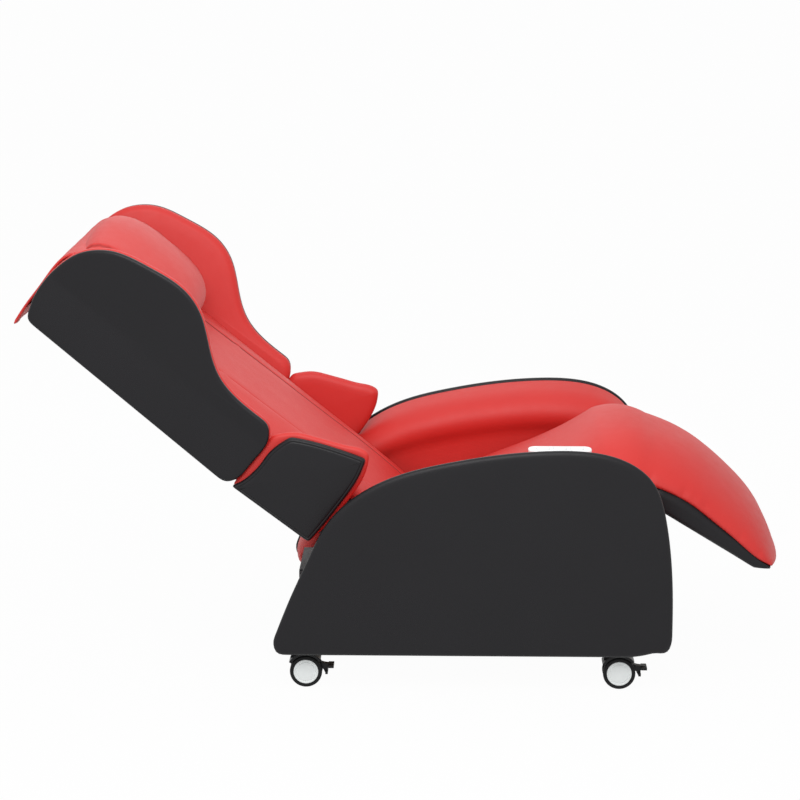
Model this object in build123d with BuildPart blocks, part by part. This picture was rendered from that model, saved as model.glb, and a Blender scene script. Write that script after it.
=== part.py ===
# Electric massage recliner: two upholstered arms on a steel base with casters, a fixed seat,
# a backrest with wings that reclines, and a footrest that lifts. Millimetres and degrees.
# The chair stands on Z = 0 and faces +X. The sitter's right side is at -Y.

import os
from math import cos, radians, sin, sqrt

from build123d import *

os.makedirs("parts", exist_ok=True)

# Whole chair. Stations along X are measured from the arms' datum, middle_x ahead of the origin.
chair_width = 760.0
middle_x = 150.4
soft_gap = 0.3
weld_gap = 0.1
bore_clearance = 0.05
overrun = 10.0

# Pivots of the backrest and of the footrest, and how they stand in the photographed position
hinge_setback = 110.0
hinge_height = 260.0
knee_reach = 323.0
knee_height = 388.0
back_slope = 39.5
back_travel = 34.0
seat_slope = 20.7
leg_slope = 31.4
leg_travel = 38.0

# Steel tube and plate
tube_side = 30.0
plate_thickness = 8.0
torque_tube_radius = 12.0
pin_radius = 6.0
pin_head_radius = 10.0
pin_head_height = 5.0
pin_grip = 26.0
ear_radius = 20.0

hinge_point = Vector(middle_x - hinge_setback, 0, hinge_height)
knee_point = Vector(middle_x + knee_reach, 0, knee_height)
side_way = Vector(0, 1, 0)
back_up = Vector(-cos(radians(back_slope)), 0, sin(radians(back_slope)))
seat_on = Vector(cos(radians(seat_slope)), 0, sin(radians(seat_slope)))
seat_out = Vector(-sin(radians(seat_slope)), 0, cos(radians(seat_slope)))
leg_on = Vector(cos(radians(leg_slope)), 0, -sin(radians(leg_slope)))


def save(name, part):
    """Label a finished piece and write it under its name."""
    part.label = name
    export_step(part, f"parts/{name}.step")


def save_pair(name, part):
    """Write the right-hand piece, and its mirror image as the left-hand one."""
    save(f"right_{name}", part)
    with BuildPart() as twin:
        mirror(part, about=Plane.XZ)
    save(f"left_{name}", twin.part)


def side_plane(y=0.0):
    """Upright plane along the chair: x runs forward, y runs up, and it looks to the right."""
    return Plane(origin=(0, y, 0), x_dir=(1, 0, 0), z_dir=(0, -1, 0))


def back_plane(y=0.0):
    """Side view of the backrest: x runs up the back from the hinge, y out of its front."""
    return Plane(origin=hinge_point + side_way * y, x_dir=back_up, z_dir=(0, 1, 0))


def back_section(up):
    """Cross-section of the backrest: x runs to the left side, y out of its front."""
    return Plane(origin=hinge_point + back_up * up, x_dir=side_way, z_dir=back_up * -1)


def seat_plane(y=0.0):
    """Side view of the seat: x runs forward up its slope from above the knee pivot, y out of it."""
    return Plane(origin=knee_point + side_way * y, x_dir=seat_on, z_dir=(0, -1, 0))


def seat_section(on):
    """Cross-section of the seat: x runs to the left side, y out of its top."""
    return Plane(origin=knee_point + seat_on * on, x_dir=side_way, z_dir=seat_on)


def leg_plane(y=0.0):
    """Side view of the footrest: x runs down its slope from the knee pivot, y out of its top."""
    return Plane(origin=knee_point + side_way * y, x_dir=leg_on, z_dir=(0, -1, 0))


def leg_section(on):
    """Cross-section of the footrest: x runs to the left side, y out of its top."""
    return Plane(origin=knee_point + leg_on * on, x_dir=side_way, z_dir=leg_on)


def block(low, high):
    """Add a block between two corners to the part being built."""
    size = [b - a for a, b in zip(low, high)]
    with Locations(tuple((a + b) / 2 for a, b in zip(low, high))):
        Box(*size)


# Arms. The black outer cover holds the arm's whole outline; the red pad lies 5 mm inside it.
arm_length = 854.0
arm_setback = 429.0
arm_foot = 84.0
arm_height = 453.0
arm_cover_thickness = 30.0
arm_thickness = 120.0
arm_rim = 5.0
arm_edge_round = 9.0
arm_recess = 15.0
arm_roll_depth = 105.0
arm_core_thickness = 30.0
arm_core_inset = 30.0
arm_shelf_thickness = 15.0
arm_outer_y = chair_width / 2
arm_split_y = arm_outer_y - arm_cover_thickness
arm_inner_y = arm_outer_y - arm_thickness
arm_rear_x = middle_x - arm_setback
pad_foot = arm_foot + arm_shelf_thickness + soft_gap

# Places along the arm's outline, as shares of its length and height
arm_top_shares = [
    (0.0, 0.07), (0.046, 0.289), (0.0925, 0.483), (0.134, 0.636), (0.194, 0.756), (0.309, 0.876),
    (0.427, 0.936), (0.604, 0.989), (0.693, 1.0), (0.781, 0.996), (0.881, 0.947), (0.94, 0.861),
    (0.978, 0.67), (0.999, 0.282), (1.0, 0.084)]
arm_front_foot_shares = [(0.989, 0.035), (0.96, 0.017), (0.9, 0.0)]
arm_rear_foot_shares = [(0.035, 0.0), (0.009, 0.02)]
arm_roll_shares = arm_top_shares[1:13]
# Rows of the rolled top: how far in from the cover, and its top and foot below the outline
roll_section_shares = [(0.0, 0.05, 1.0), (0.5, 0.1, 0.97), (0.84, 0.3, 0.86), (1.0, 0.52, 0.7)]


def arm_point(shares, inset=0.0, foot=arm_foot):
    """A place on the arm's outline, drawn in by the inset and set above the foot."""
    along, up = shares
    height = arm_foot + arm_height - inset - foot
    return (arm_rear_x + inset + along * (arm_length - 2 * inset), foot + up * height)


def arm_outline(inset=0.0, foot=arm_foot):
    """Draw the arm's closed outline as a face in the sketch being built."""
    top = [arm_point(shares, inset, foot) for shares in arm_top_shares]
    front = [arm_point(shares, inset, foot) for shares in arm_front_foot_shares]
    rear = [arm_point(shares, inset, foot) for shares in arm_rear_foot_shares]
    with BuildLine() as outline:
        Spline(top)
        ThreePointArc(top[-1], front[0], front[1])
        Polyline(front[1], front[2], rear[0])
        ThreePointArc(rear[0], rear[1], top[0])
    return make_face(outline.edges())


with BuildPart() as arm_cover:
    with BuildSketch(side_plane(-arm_split_y)):
        arm_outline()
    extrude(amount=arm_cover_thickness)
    outer_edges = arm_cover.faces().sort_by(Axis.Y)[0].edges()
    fillet(outer_edges, radius=arm_edge_round)
save_pair("arm_cover", arm_cover.part)

# Control pod on the right arm, sunk into the arm pad, with three push buttons in its top
pod_rear = 114.0
pod_length = 135.0
pod_width = 45.0
pod_height = 18.0
pod_top = 531.0
pod_setin = 35.0
pod_corner = 18.0
pod_edge_round = 3.0
button_length = 27.0
button_width = 22.0
button_corner = 5.0
button_height = 5.0
button_stand = 1.8
button_stroke = 1.5
button_pitch = 36.0
pod_outer_y = arm_outer_y - pod_setin
pod_centre = Vector(middle_x + pod_rear + pod_length / 2, pod_width / 2 - pod_outer_y, pod_top)


def arm_roll(row):
    """One crescent slice of the arm pad's rolled top, as a face."""
    inward, drop, foot = row
    y = -arm_split_y + inward * (arm_split_y - arm_inner_y)
    crest = [arm_point(shares, arm_rim) for shares in arm_roll_shares]
    belly = [arm_point(shares, 2 * arm_rim) for shares in arm_roll_shares]
    top = [(x, z - drop * arm_roll_depth) for x, z in crest]
    low = [(x, z - foot * arm_roll_depth) for x, z in belly]
    with BuildSketch(side_plane(y)) as slice_face:
        with BuildLine():
            Spline(top)
            Line(top[-1], low[-1])
            Spline(low[::-1])
            Line(low[0], top[0])
        make_face()
    return slice_face.sketch


# Steel base frame: rails and cross tubes just above the arms' shelves, upright ears for the pins
rail_rear_inset = 34.0
rail_front_inset = 40.0
rail_rear = rail_rear_inset - arm_setback
rail_front = arm_length - arm_setback - rail_front_inset
rail_outer_y = arm_inner_y - tube_side / 2
rail_inner_y = rail_outer_y - tube_side
rail_low = arm_foot + arm_shelf_thickness
rail_top = rail_low + tube_side
frame_rear_x = middle_x + rail_rear
frame_front_x = middle_x + rail_front
bolt_radius = 4.0
bolt_head_radius = 7.5
bolt_head_height = 4.0
bolt_grip = 22.0
bolt_clearance = 0.2
bolt_y = (rail_inner_y + rail_outer_y) / 2
bolt_count = 4
bolt_pitch = (rail_front - rail_rear) / (bolt_count + 1)
bolt_places = [(frame_rear_x + bolt_pitch * (step + 1), -bolt_y) for step in range(bolt_count)]

with BuildPart() as arm_core:
    with BuildSketch(side_plane(-arm_split_y + soft_gap)):
        arm_outline(arm_core_inset, arm_foot)
    extrude(amount=-arm_core_thickness)
    block((frame_rear_x, -arm_split_y + arm_core_thickness, arm_foot),
          (frame_front_x, -rail_inner_y, rail_low))
    with Locations([(x, y, rail_low) for x, y in bolt_places]):
        Hole(radius=bolt_radius + bolt_clearance, depth=arm_shelf_thickness)
with BuildPart() as arm_cores:
    add(arm_core.part)
    mirror(arm_core.part, about=Plane.XZ)
save("arm_cores", arm_cores.part)

with BuildPart() as arm_pad:
    with BuildSketch(side_plane(-arm_split_y + soft_gap)):
        arm_outline(arm_rim + arm_roll_depth * roll_section_shares[1][1], pad_foot)
    extrude(amount=-(arm_thickness - arm_cover_thickness - arm_recess))
    loft(sections=[arm_roll(row) for row in roll_section_shares])
    with BuildSketch(side_plane(-arm_split_y)):
        arm_outline(arm_core_inset - soft_gap, arm_foot)
    extrude(amount=-(arm_core_thickness + 2 * soft_gap), mode=Mode.SUBTRACT)
    with BuildSketch(Plane.XY.offset(pad_foot)):
        with Locations((arm_rear_x + arm_length / 2, 0)):
            Rectangle(arm_length, chair_width)
    extrude(amount=-(arm_shelf_thickness + overrun), mode=Mode.SUBTRACT)
save("left_arm_pad", mirror(arm_pad.part, about=Plane.XZ))

# The right pad has a pocket for the control pod
with BuildPart() as right_arm_pad:
    add(arm_pad.part)
    with BuildSketch(Plane.XY.offset(pod_top - pod_height - soft_gap)):
        with Locations((pod_centre.X, pod_centre.Y)):
            RectangleRounded(pod_length + 2 * soft_gap, pod_width + 2 * soft_gap, pod_corner)
    extrude(amount=pod_height + overrun, mode=Mode.SUBTRACT)
save("right_arm_pad", right_arm_pad.part)

with BuildPart() as control_pod:
    with BuildSketch(Plane.XY.offset(pod_top - pod_height)):
        with Locations((pod_centre.X, pod_centre.Y)):
            RectangleRounded(pod_length, pod_width, pod_corner)
    extrude(amount=pod_height)
    fillet(control_pod.faces().sort_by(Axis.Z)[-1].edges(), radius=pod_edge_round)
    with BuildSketch(Plane.XY.offset(pod_top)):
        with Locations((pod_centre.X, pod_centre.Y)):
            with GridLocations(button_pitch, 0, 3, 1):
                RectangleRounded(button_length + 2 * soft_gap, button_width + 2 * soft_gap, button_corner)
    extrude(amount=-(button_height + button_stroke + soft_gap - button_stand), mode=Mode.SUBTRACT)
save("control_pod", control_pod.part)

for shift, button_name in ((-button_pitch, "recline_button"), (0, "massage_button"),
                           (button_pitch, "footrest_button")):
    with BuildPart() as button:
        with BuildSketch(Plane.XY.offset(pod_top + button_stand)):
            with Locations((pod_centre.X + shift, pod_centre.Y)):
                RectangleRounded(button_length, button_width, button_corner)
        extrude(amount=-button_height)
        fillet(button.faces().sort_by(Axis.Z)[-1].edges(), radius=button_stand / 2)
    save(button_name, button.part)

# Bolts that hold the arms' shelves to the rails
with BuildPart() as arm_bolts:
    for side in (-1, 1):
        for x, y in bolt_places:
            with Locations((x, y * side, arm_foot - bolt_head_height)):
                Cylinder(bolt_head_radius, bolt_head_height, align=(Align.CENTER, Align.CENTER, Align.MIN))
            with Locations((x, y * side, arm_foot)):
                Cylinder(bolt_radius, arm_shelf_thickness + bolt_grip,
                         align=(Align.CENTER, Align.CENTER, Align.MIN))
save("arm_bolts", arm_bolts.part)

# Linear actuators. Each pushes a crank that hangs below its pivot; its line is level with the
# middle of the crank's swing, and a slot in the rod's eye takes up the small rise and fall.
crank_length = 80.0
crank_y = 80.0
crank_thickness = 6.0
crank_half_width = 9.0
eye_half_width = 12.0
eye_length = 32.0
eye_height = 32.0
eye_gap = 1.0
slot_clearance = 0.6
eye_pin_radius = 5.0
rod_radius = 9.0
rod_hidden = 60.0
actuator_radius = 17.0
actuator_reach = 210.0
actuator_wall_gap = 0.5
gearbox_length = 60.0
gearbox_half_height = 24.0
motor_radius = 19.0
motor_length = 120.0
clevis_gap = 0.5
clevis_thickness = 6.0
clevis_half_width = 14.0
mouth_gap = 4.0


def swing_of(travel):
    """Half stroke of a crank, how far its end rises and falls, and its line's distance."""
    half = radians(travel / 2)
    return crank_length * sin(half), crank_length * (1 - cos(half)) / 2


back_half_stroke, back_rise = swing_of(back_travel)
leg_half_stroke, leg_rise = swing_of(leg_travel)
back_line = hinge_height - crank_length + back_rise
leg_line = leg_rise - crank_length
back_eye_x = hinge_point.X + back_half_stroke
body_setoff = eye_length / 2 + mouth_gap
back_mouth_x = back_eye_x + body_setoff
back_clevis_x = back_mouth_x + actuator_reach + gearbox_length + clevis_half_width
leg_mouth = -leg_half_stroke - body_setoff
leg_clevis = leg_mouth - actuator_reach - gearbox_length - clevis_half_width
leg_clevis_point = knee_point + seat_on * leg_clevis + seat_out * leg_line


def actuator_body(plane, way, mouth, height, motor_side):
    """A tube with a bore for the rod, a gearbox, a motor beside it and a tail with a bore."""
    with BuildPart() as body:
        with BuildSketch(plane):
            with Locations((mouth + way * actuator_reach / 2, height)):
                Rectangle(actuator_reach, 2 * actuator_radius)
        extrude(amount=actuator_radius, both=True)
        with BuildSketch(plane):
            with Locations((mouth + way * (actuator_reach + gearbox_length / 2), height)):
                Rectangle(gearbox_length, 2 * gearbox_half_height)
        extrude(amount=actuator_radius, both=True)
        with BuildSketch(plane):
            with Locations((mouth + way * (actuator_reach + gearbox_length), height)):
                SlotOverall(4 * clevis_half_width, 2 * clevis_half_width)
            with Locations((mouth + way * (actuator_reach + gearbox_length + clevis_half_width), height)):
                Circle(pin_radius + bore_clearance, mode=Mode.SUBTRACT)
        extrude(amount=eye_half_width, both=True)
        with BuildSketch(plane.offset(motor_side * (actuator_radius + motor_radius))):
            with Locations((mouth + way * (actuator_reach + gearbox_length - motor_length / 2), height)):
                Rectangle(motor_length, 2 * motor_radius)
        extrude(amount=motor_radius, both=True)
        bore = Plane(origin=plane.from_local_coords((mouth, height, 0)), z_dir=plane.x_dir * way)
        with BuildSketch(bore):
            Circle(rod_radius + actuator_wall_gap)
        extrude(amount=actuator_reach - clevis_thickness, mode=Mode.SUBTRACT)
    return body.part


def actuator_rod(plane, way, eye, height, rise, stroke):
    """A round rod that ends in an eye with an upright slot for the crank's pin."""
    with BuildPart() as rod:
        with BuildSketch(plane):
            with Locations((eye, height)):
                RectangleRounded(eye_length, eye_height, eye_length / 4)
            with Locations((eye, height)):
                SlotOverall(2 * (eye_pin_radius + slot_clearance + rise),
                            2 * (eye_pin_radius + slot_clearance), rotation=90, mode=Mode.SUBTRACT)
        extrude(amount=eye_half_width, both=True)
        shank = Plane(origin=plane.from_local_coords((eye + way * eye_length / 2, height, 0)),
                      z_dir=plane.x_dir * way)
        with BuildSketch(shank):
            Circle(rod_radius)
        extrude(amount=mouth_gap + stroke + rod_hidden)
    return rod.part


def crank(plane, start_angle):
    """Two plates from the torque tube out to the actuator's pin, with the pin."""
    with BuildPart() as arms:
        for side in (-1, 1):
            inner = side * (eye_half_width + eye_gap)
            with BuildSketch(plane.offset(inner)):
                with PolarLocations(0, 1, start_angle):
                    with Locations((crank_length / 2, 0)):
                        SlotOverall(crank_length + 2 * crank_half_width, 2 * crank_half_width)
                Circle(torque_tube_radius + weld_gap, mode=Mode.SUBTRACT)
            extrude(amount=side * crank_thickness)
        with BuildSketch(plane):
            with PolarLocations(crank_length, 1, start_angle):
                Circle(eye_pin_radius)
        extrude(amount=eye_half_width + eye_gap + crank_thickness, both=True)
    return arms.part


back_actuator_plane = Plane(origin=(0, -crank_y, 0), x_dir=(1, 0, 0), z_dir=(0, -1, 0))
leg_actuator_plane = Plane(origin=knee_point + side_way * crank_y, x_dir=seat_on, z_dir=(0, -1, 0))
save("back_actuator_body", actuator_body(back_actuator_plane, 1, back_mouth_x, back_line, 1))
save("back_actuator_rod",
     actuator_rod(back_actuator_plane, 1, back_eye_x, back_line, back_rise, 2 * back_half_stroke))
save("leg_actuator_body", actuator_body(leg_actuator_plane, -1, leg_mouth, leg_line, -1))
save("leg_actuator_rod", actuator_rod(leg_actuator_plane, -1, leg_half_stroke, leg_line, leg_rise,
                                      2 * leg_half_stroke))

# Seat: a plywood board on two cross tubes, and a crowned cushion whose front is hollowed out
# round the footrest's knee roll. Distances along the seat count from above the knee pivot.
seat_side_gap = 9.0
seat_half_width = arm_inner_y - seat_side_gap
seat_edge_height = 86.6
seat_thickness = 85.0
seat_rear = -406.0
seat_front = -52.0
seat_board_thickness = 15.0
seat_board_inset = 8.0
seat_board_half_width = seat_half_width - seat_board_inset
seat_board_front = -30.0
seat_low = seat_edge_height - seat_thickness
seat_board_top = seat_low - soft_gap
seat_tube_side = 25.0
seat_tube_rear_inset = 31.0
seat_tube_front_inset = 10.0
seat_tube_on = [seat_rear + seat_tube_rear_inset, seat_front - seat_tube_front_inset]
seat_tube_out = seat_board_top - seat_board_thickness - seat_tube_side / 2
# Along the seat: share of its length from the rear, share of its half width, crown height
seat_section_shares = [
    (0.0, 0.955, 0.22), (0.03, 0.985, 0.3), (0.12, 1.0, 0.34), (0.5, 1.0, 0.42), (0.8, 1.0, 0.54),
    (0.95, 1.0, 0.62), (1.0, 0.995, 0.62)]
seat_tuck = 7.0

# Knee roll of the footrest: a barrel round the pivot, 145 mm at the middle and 85 at its ends
knee_edge_radius = 85.0
knee_crest_radius = 145.0
knee_inner_radius = 60.0
knee_plate_thickness = 4.0
knee_roll_reach = 126.0
knee_clearance = 1.5


def knee_profile(grow, inner):
    """Half section of the knee roll from its inner radius out to its crowned surface."""
    width = seat_half_width + grow
    rear_way = seat_on * -cos(radians(roll_rear_tilt)) + seat_out * sin(radians(roll_rear_tilt))
    plane = Plane(origin=knee_point, x_dir=side_way, z_dir=side_way.cross(rear_way))
    with BuildSketch(plane) as profile:
        with BuildLine():
            Polyline((width, knee_edge_radius + grow), (width, inner), (-width, inner),
                     (-width, knee_edge_radius + grow))
            ThreePointArc((-width, knee_edge_radius + grow), (0, knee_crest_radius + grow),
                          (width, knee_edge_radius + grow))
        make_face()
    return profile.sketch


def crowned_section(plane, half_width, low, edge, crest, tuck):
    """Cross-section of a cushion: flat underside, drawn-in sides and a crowned top."""
    foot = half_width - tuck
    middle = (low + edge) / 2
    with BuildSketch(plane) as section:
        with BuildLine():
            Line((-foot, low), (foot, low))
            ThreePointArc((foot, low), (half_width, middle), (foot, edge))
            ThreePointArc((foot, edge), (0, crest), (-foot, edge))
            ThreePointArc((-foot, edge), (-half_width, middle), (-foot, low))
        make_face()
    return section.sketch


# Tilt of the knee roll's rear end above the seat's line
roll_rear_tilt = 90.0 + seat_slope + leg_slope - knee_roll_reach
knee_axis = Axis(knee_point, side_way)

with BuildPart() as seat_cushion:
    slices = []
    for along, wide, crown in seat_section_shares:
        on = seat_rear + along * (seat_front - seat_rear)
        slices.append(crowned_section(seat_section(on), seat_half_width * wide, seat_low,
                                      seat_edge_height - seat_tuck * (1 - wide),
                                      seat_edge_height * (1 + crown), seat_tuck))
    loft(sections=slices)
    revolve(knee_profile(knee_clearance, 0.0), axis=knee_axis, mode=Mode.SUBTRACT)
save("seat_cushion", seat_cushion.part)

with BuildPart() as seat_board:
    with BuildSketch(seat_plane()):
        with Locations(((seat_rear + seat_board_front) / 2, seat_board_top - seat_board_thickness / 2)):
            Rectangle(seat_board_front - seat_rear, seat_board_thickness)
    extrude(amount=seat_board_half_width, both=True)
save("seat_board", seat_board.part)

# Base frame. Every tube is a solid of its own, a weld's width from the one it is welded to.
tray_thickness = 3.0
front_tray_half_width = 55.0
rear_tray_half_width = 110.0
rear_tube_pitch = 205.0
cross_tube_x = [rail_rear + tube_side / 2, rail_rear + rear_tube_pitch, leg_clevis_point.X - middle_x,
                back_clevis_x - middle_x, rail_front - tube_side / 2]
tray_low = rail_top + weld_gap
tray_top = tray_low + tray_thickness
post_thickness = 20.0
post_x = [(knee_point + seat_on * on + seat_out * seat_tube_out).X for on in seat_tube_on]
post_z = [(knee_point + seat_on * on + seat_out * (seat_tube_out - seat_tube_side / 2)).Z
          for on in seat_tube_on]
clevis_low = tray_low
ear_inner_y = rail_outer_y + weld_gap


def ear(pivot):
    """Upright plate outside the right rail with a bore for a pivot's pin."""
    with BuildPart() as plate:
        with BuildSketch(side_plane(-ear_inner_y)):
            with BuildLine():
                Line((pivot.X - ear_radius, pivot.Z), (pivot.X - ear_radius, rail_low))
                Line((pivot.X - ear_radius, rail_low), (pivot.X + ear_radius, rail_low))
                Line((pivot.X + ear_radius, rail_low), (pivot.X + ear_radius, pivot.Z))
                ThreePointArc((pivot.X + ear_radius, pivot.Z), (pivot.X, pivot.Z + ear_radius),
                              (pivot.X - ear_radius, pivot.Z))
            make_face()
            with Locations((pivot.X, pivot.Z)):
                Circle(pin_radius + bore_clearance, mode=Mode.SUBTRACT)
        extrude(amount=plate_thickness)
    return plate.part


def clevis(pivot_x, pivot_z, y):
    """Two cheeks that stand on a cross tube and hold the tail of an actuator with a pin."""
    with BuildPart() as cheeks:
        for side in (-1, 1):
            with BuildSketch(side_plane(y + side * (eye_half_width + clevis_gap))):
                with BuildLine():
                    Line((pivot_x - clevis_half_width, pivot_z), (pivot_x - clevis_half_width, clevis_low))
                    Line((pivot_x - clevis_half_width, clevis_low),
                         (pivot_x + clevis_half_width, clevis_low))
                    Line((pivot_x + clevis_half_width, clevis_low), (pivot_x + clevis_half_width, pivot_z))
                    ThreePointArc((pivot_x + clevis_half_width, pivot_z),
                                  (pivot_x, pivot_z + clevis_half_width),
                                  (pivot_x - clevis_half_width, pivot_z))
                make_face()
            extrude(amount=-side * clevis_thickness)
        with BuildSketch(side_plane(y)):
            with Locations((pivot_x, pivot_z)):
                Circle(pin_radius)
        extrude(amount=eye_half_width + clevis_gap, both=True)
    return cheeks.part


with BuildPart() as base_frame:
    for side in (-1, 1):
        block((frame_rear_x, min(side * rail_inner_y, side * rail_outer_y), rail_low),
              (frame_front_x, max(side * rail_inner_y, side * rail_outer_y), rail_top))
    for x in cross_tube_x:
        block((middle_x + x - tube_side / 2, weld_gap - rail_inner_y, rail_low),
              (middle_x + x + tube_side / 2, rail_inner_y - weld_gap, rail_top))
    for side in (-1, 1):
        for x, z in zip(post_x, post_z):
            block((x - post_thickness / 2, min(side * rail_inner_y, side * rail_outer_y), tray_low),
                  (x + post_thickness / 2, max(side * rail_inner_y, side * rail_outer_y),
                   z - seat_tube_side / 2 * sin(radians(seat_slope))))
    for on in seat_tube_on:
        with BuildSketch(seat_plane()):
            with Locations((on, seat_tube_out)):
                Rectangle(seat_tube_side, seat_tube_side)
        extrude(amount=rail_outer_y - weld_gap, both=True)
    block((middle_x + rail_rear, -rear_tray_half_width, tray_low),
          (middle_x + cross_tube_x[1] + tube_side / 2, rear_tray_half_width, tray_top))
    block((middle_x + cross_tube_x[2] - tube_side / 2, -front_tray_half_width, tray_low),
          (middle_x + cross_tube_x[3] + tube_side / 2, front_tray_half_width, tray_top))
    for pivot in (hinge_point, knee_point):
        plate = ear(pivot)
        add(plate)
        mirror(plate, about=Plane.XZ)
    add(clevis(leg_clevis_point.X, leg_clevis_point.Z, crank_y))
    add(clevis(back_clevis_x, back_line, -crank_y))
    for side in (-1, 1):
        with Locations([(x, y * side, rail_low) for x, y in bolt_places]):
            Cylinder(bolt_radius + bolt_clearance, bolt_grip + bolt_clearance,
                     align=(Align.CENTER, Align.CENTER, Align.MIN), mode=Mode.SUBTRACT)
save("base_frame", base_frame.part)

# Pins of the two pivots, pushed in from outside through the ears
pin_head_y = ear_inner_y + plate_thickness
tube_end_y = rail_outer_y - plate_thickness * 2
with BuildPart() as hinge_pins:
    for pivot in (hinge_point, knee_point):
        for side in (-1, 1):
            with BuildSketch(side_plane(side * pin_head_y)):
                with Locations((pivot.X, pivot.Z)):
                    Circle(pin_head_radius)
            extrude(amount=-side * pin_head_height)
            with BuildSketch(side_plane(side * pin_head_y)):
                with Locations((pivot.X, pivot.Z)):
                    Circle(pin_radius)
            extrude(amount=side * (pin_head_y - tube_end_y + pin_grip))
save("hinge_pins", hinge_pins.part)

# Power box on the rear tray with its inlet and switch, air pump on the front tray
box_length = 150.0
box_half_width = 95.0
box_height = 58.0
box_wall_round = 6.0
box_setin = 5.0
box_rear_x = frame_rear_x + box_setin
inlet_width = 48.0
inlet_height = 28.0
inlet_depth = 20.0
inlet_y = 45.0
socket_width = 25.0
socket_height = 17.0
socket_depth = 15.0
blade_size = 4.0
blade_pitch = 7.0
switch_y = -35.0
switch_width = 13.0
switch_height = 26.0
switch_depth = 9.0
switch_tilt = 10.0
switch_gap = 1.2
switch_pin_radius = 1.5
switch_pin_y = 8.5
box_middle_z = tray_top + box_height / 2
box_rear_plane = Plane(origin=(box_rear_x, 0, box_middle_z), x_dir=(0, -1, 0), z_dir=(-1, 0, 0))
switch_pivot_x = box_rear_x + switch_depth / 2

with BuildPart() as power_box:
    block((box_rear_x, -box_half_width, tray_top), (box_rear_x + box_length, box_half_width,
                                                   tray_top + box_height))
    fillet(power_box.edges().filter_by(Axis.X).group_by(Axis.Z)[-1], radius=box_wall_round)
    with BuildSketch(box_rear_plane):
        with Locations((-inlet_y, 0)):
            Rectangle(inlet_width + weld_gap, inlet_height + weld_gap)
        with Locations((-switch_y, 0)):
            Rectangle(switch_width + 2 * soft_gap, switch_height + 2 * switch_gap)
    extrude(amount=-inlet_depth, mode=Mode.SUBTRACT)
    with BuildSketch(side_plane(switch_y)):
        with Locations((switch_pivot_x, box_middle_z)):
            Circle(switch_pin_radius + bore_clearance)
    extrude(amount=switch_pin_y + soft_gap, both=True, mode=Mode.SUBTRACT)
save("power_box", power_box.part)

with BuildPart() as power_inlet:
    with BuildSketch(box_rear_plane.offset(weld_gap - inlet_depth)):
        with Locations((-inlet_y, 0)):
            Rectangle(inlet_width, inlet_height)
    extrude(amount=inlet_depth)
    with BuildSketch(box_rear_plane.offset(weld_gap)):
        with Locations((-inlet_y, 0)):
            Rectangle(socket_width, socket_height)
    extrude(amount=-socket_depth, mode=Mode.SUBTRACT)
    with BuildSketch(box_rear_plane.offset(weld_gap - socket_depth)):
        with Locations((-inlet_y, 0)):
            with GridLocations(blade_pitch, 0, 3, 1):
                Rectangle(blade_size / 2, blade_size)
    extrude(amount=socket_depth - blade_size)
save("power_inlet", power_inlet.part)

# Rocker: a bar tilted to its off side at rest, with a stub pin at each end in the box's bores
with BuildPart() as power_switch:
    with BuildSketch(side_plane(switch_y)):
        with Locations((switch_pivot_x, box_middle_z)):
            Rectangle(switch_depth, switch_height - 2 * switch_gap, rotation=switch_tilt)
    extrude(amount=switch_width / 2, both=True)
    with BuildSketch(side_plane(switch_y)):
        with Locations((switch_pivot_x, box_middle_z)):
            Circle(switch_pin_radius)
    extrude(amount=switch_pin_y, both=True)
save("power_switch", power_switch.part)

pump_length = 130.0
pump_half_width = 42.0
pump_height = 62.0
pump_round = 12.0
pump_rear_x = middle_x + (cross_tube_x[2] + cross_tube_x[3] - pump_length) / 2
with BuildPart() as air_pump:
    block((pump_rear_x, -pump_half_width, tray_top),
          (pump_rear_x + pump_length, pump_half_width, tray_top + pump_height))
    fillet(air_pump.faces().sort_by(Axis.Z)[-1].edges(), radius=pump_round)
save("air_pump", air_pump.part)

# Footrest: a steel frame on the torque tube, a black tray round it, and a crowned red cushion
# that runs over the knee as a roll and bulges at the toe. Distances are down from the pivot.
leg_side_gap = 8.0
leg_half_width = arm_inner_y - leg_side_gap
leg_low = 28.8
leg_tray_wall = 4.0
leg_tuck = 6.0
leg_length = 392.0
leg_bore_y = tube_end_y
side_arm_thickness = 8.0
side_arm_y = leg_bore_y - side_arm_thickness
side_arm_low = 36.0
side_arm_depth = 14.0
toe_room = 102.0
side_arm_reach = leg_length - toe_room
knee_plate_inset = 17.0
knee_plate_y = leg_half_width - knee_plate_inset
leg_board_low = side_arm_low + side_arm_depth + weld_gap
# The seam between tray and cushion: shares of the footrest's length, heights over its underside
leg_seam_shares = [(0.118, 1.0), (0.23, 1.135), (0.33, 1.145), (0.475, 0.97), (0.64, 0.77), (0.81, 0.5),
                   (0.89, 0.5)]
leg_toe_shares = [(0.81, 0.0), (0.153, 0.0)]
leg_seam_height = 42.5
leg_heel_cut = leg_toe_shares[1][0] * leg_length + leg_tuck
# Cushion sections: along, share of half width, underside, edge and crest as shares of the crest
leg_crest = 155.0
leg_section_shares = [
    (-0.06, 0.985, 0.47, 0.515, 0.905), (0.12, 1.0, 0.49, 0.6, 0.985), (0.33, 1.0, 0.504, 0.64, 1.0),
    (0.52, 1.0, 0.44, 0.585, 0.93), (0.7, 1.0, 0.38, 0.515, 0.82), (0.84, 0.995, 0.32, 0.43, 0.635),
    (0.93, 0.94, 0.32, 0.38, 0.48), (0.98, 0.8, 0.32, 0.345, 0.375)]


def leg_seam_points():
    """Places on the seam in the footrest's side view."""
    return [(along * leg_length, leg_low + up * leg_seam_height) for along, up in leg_seam_shares]


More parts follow.
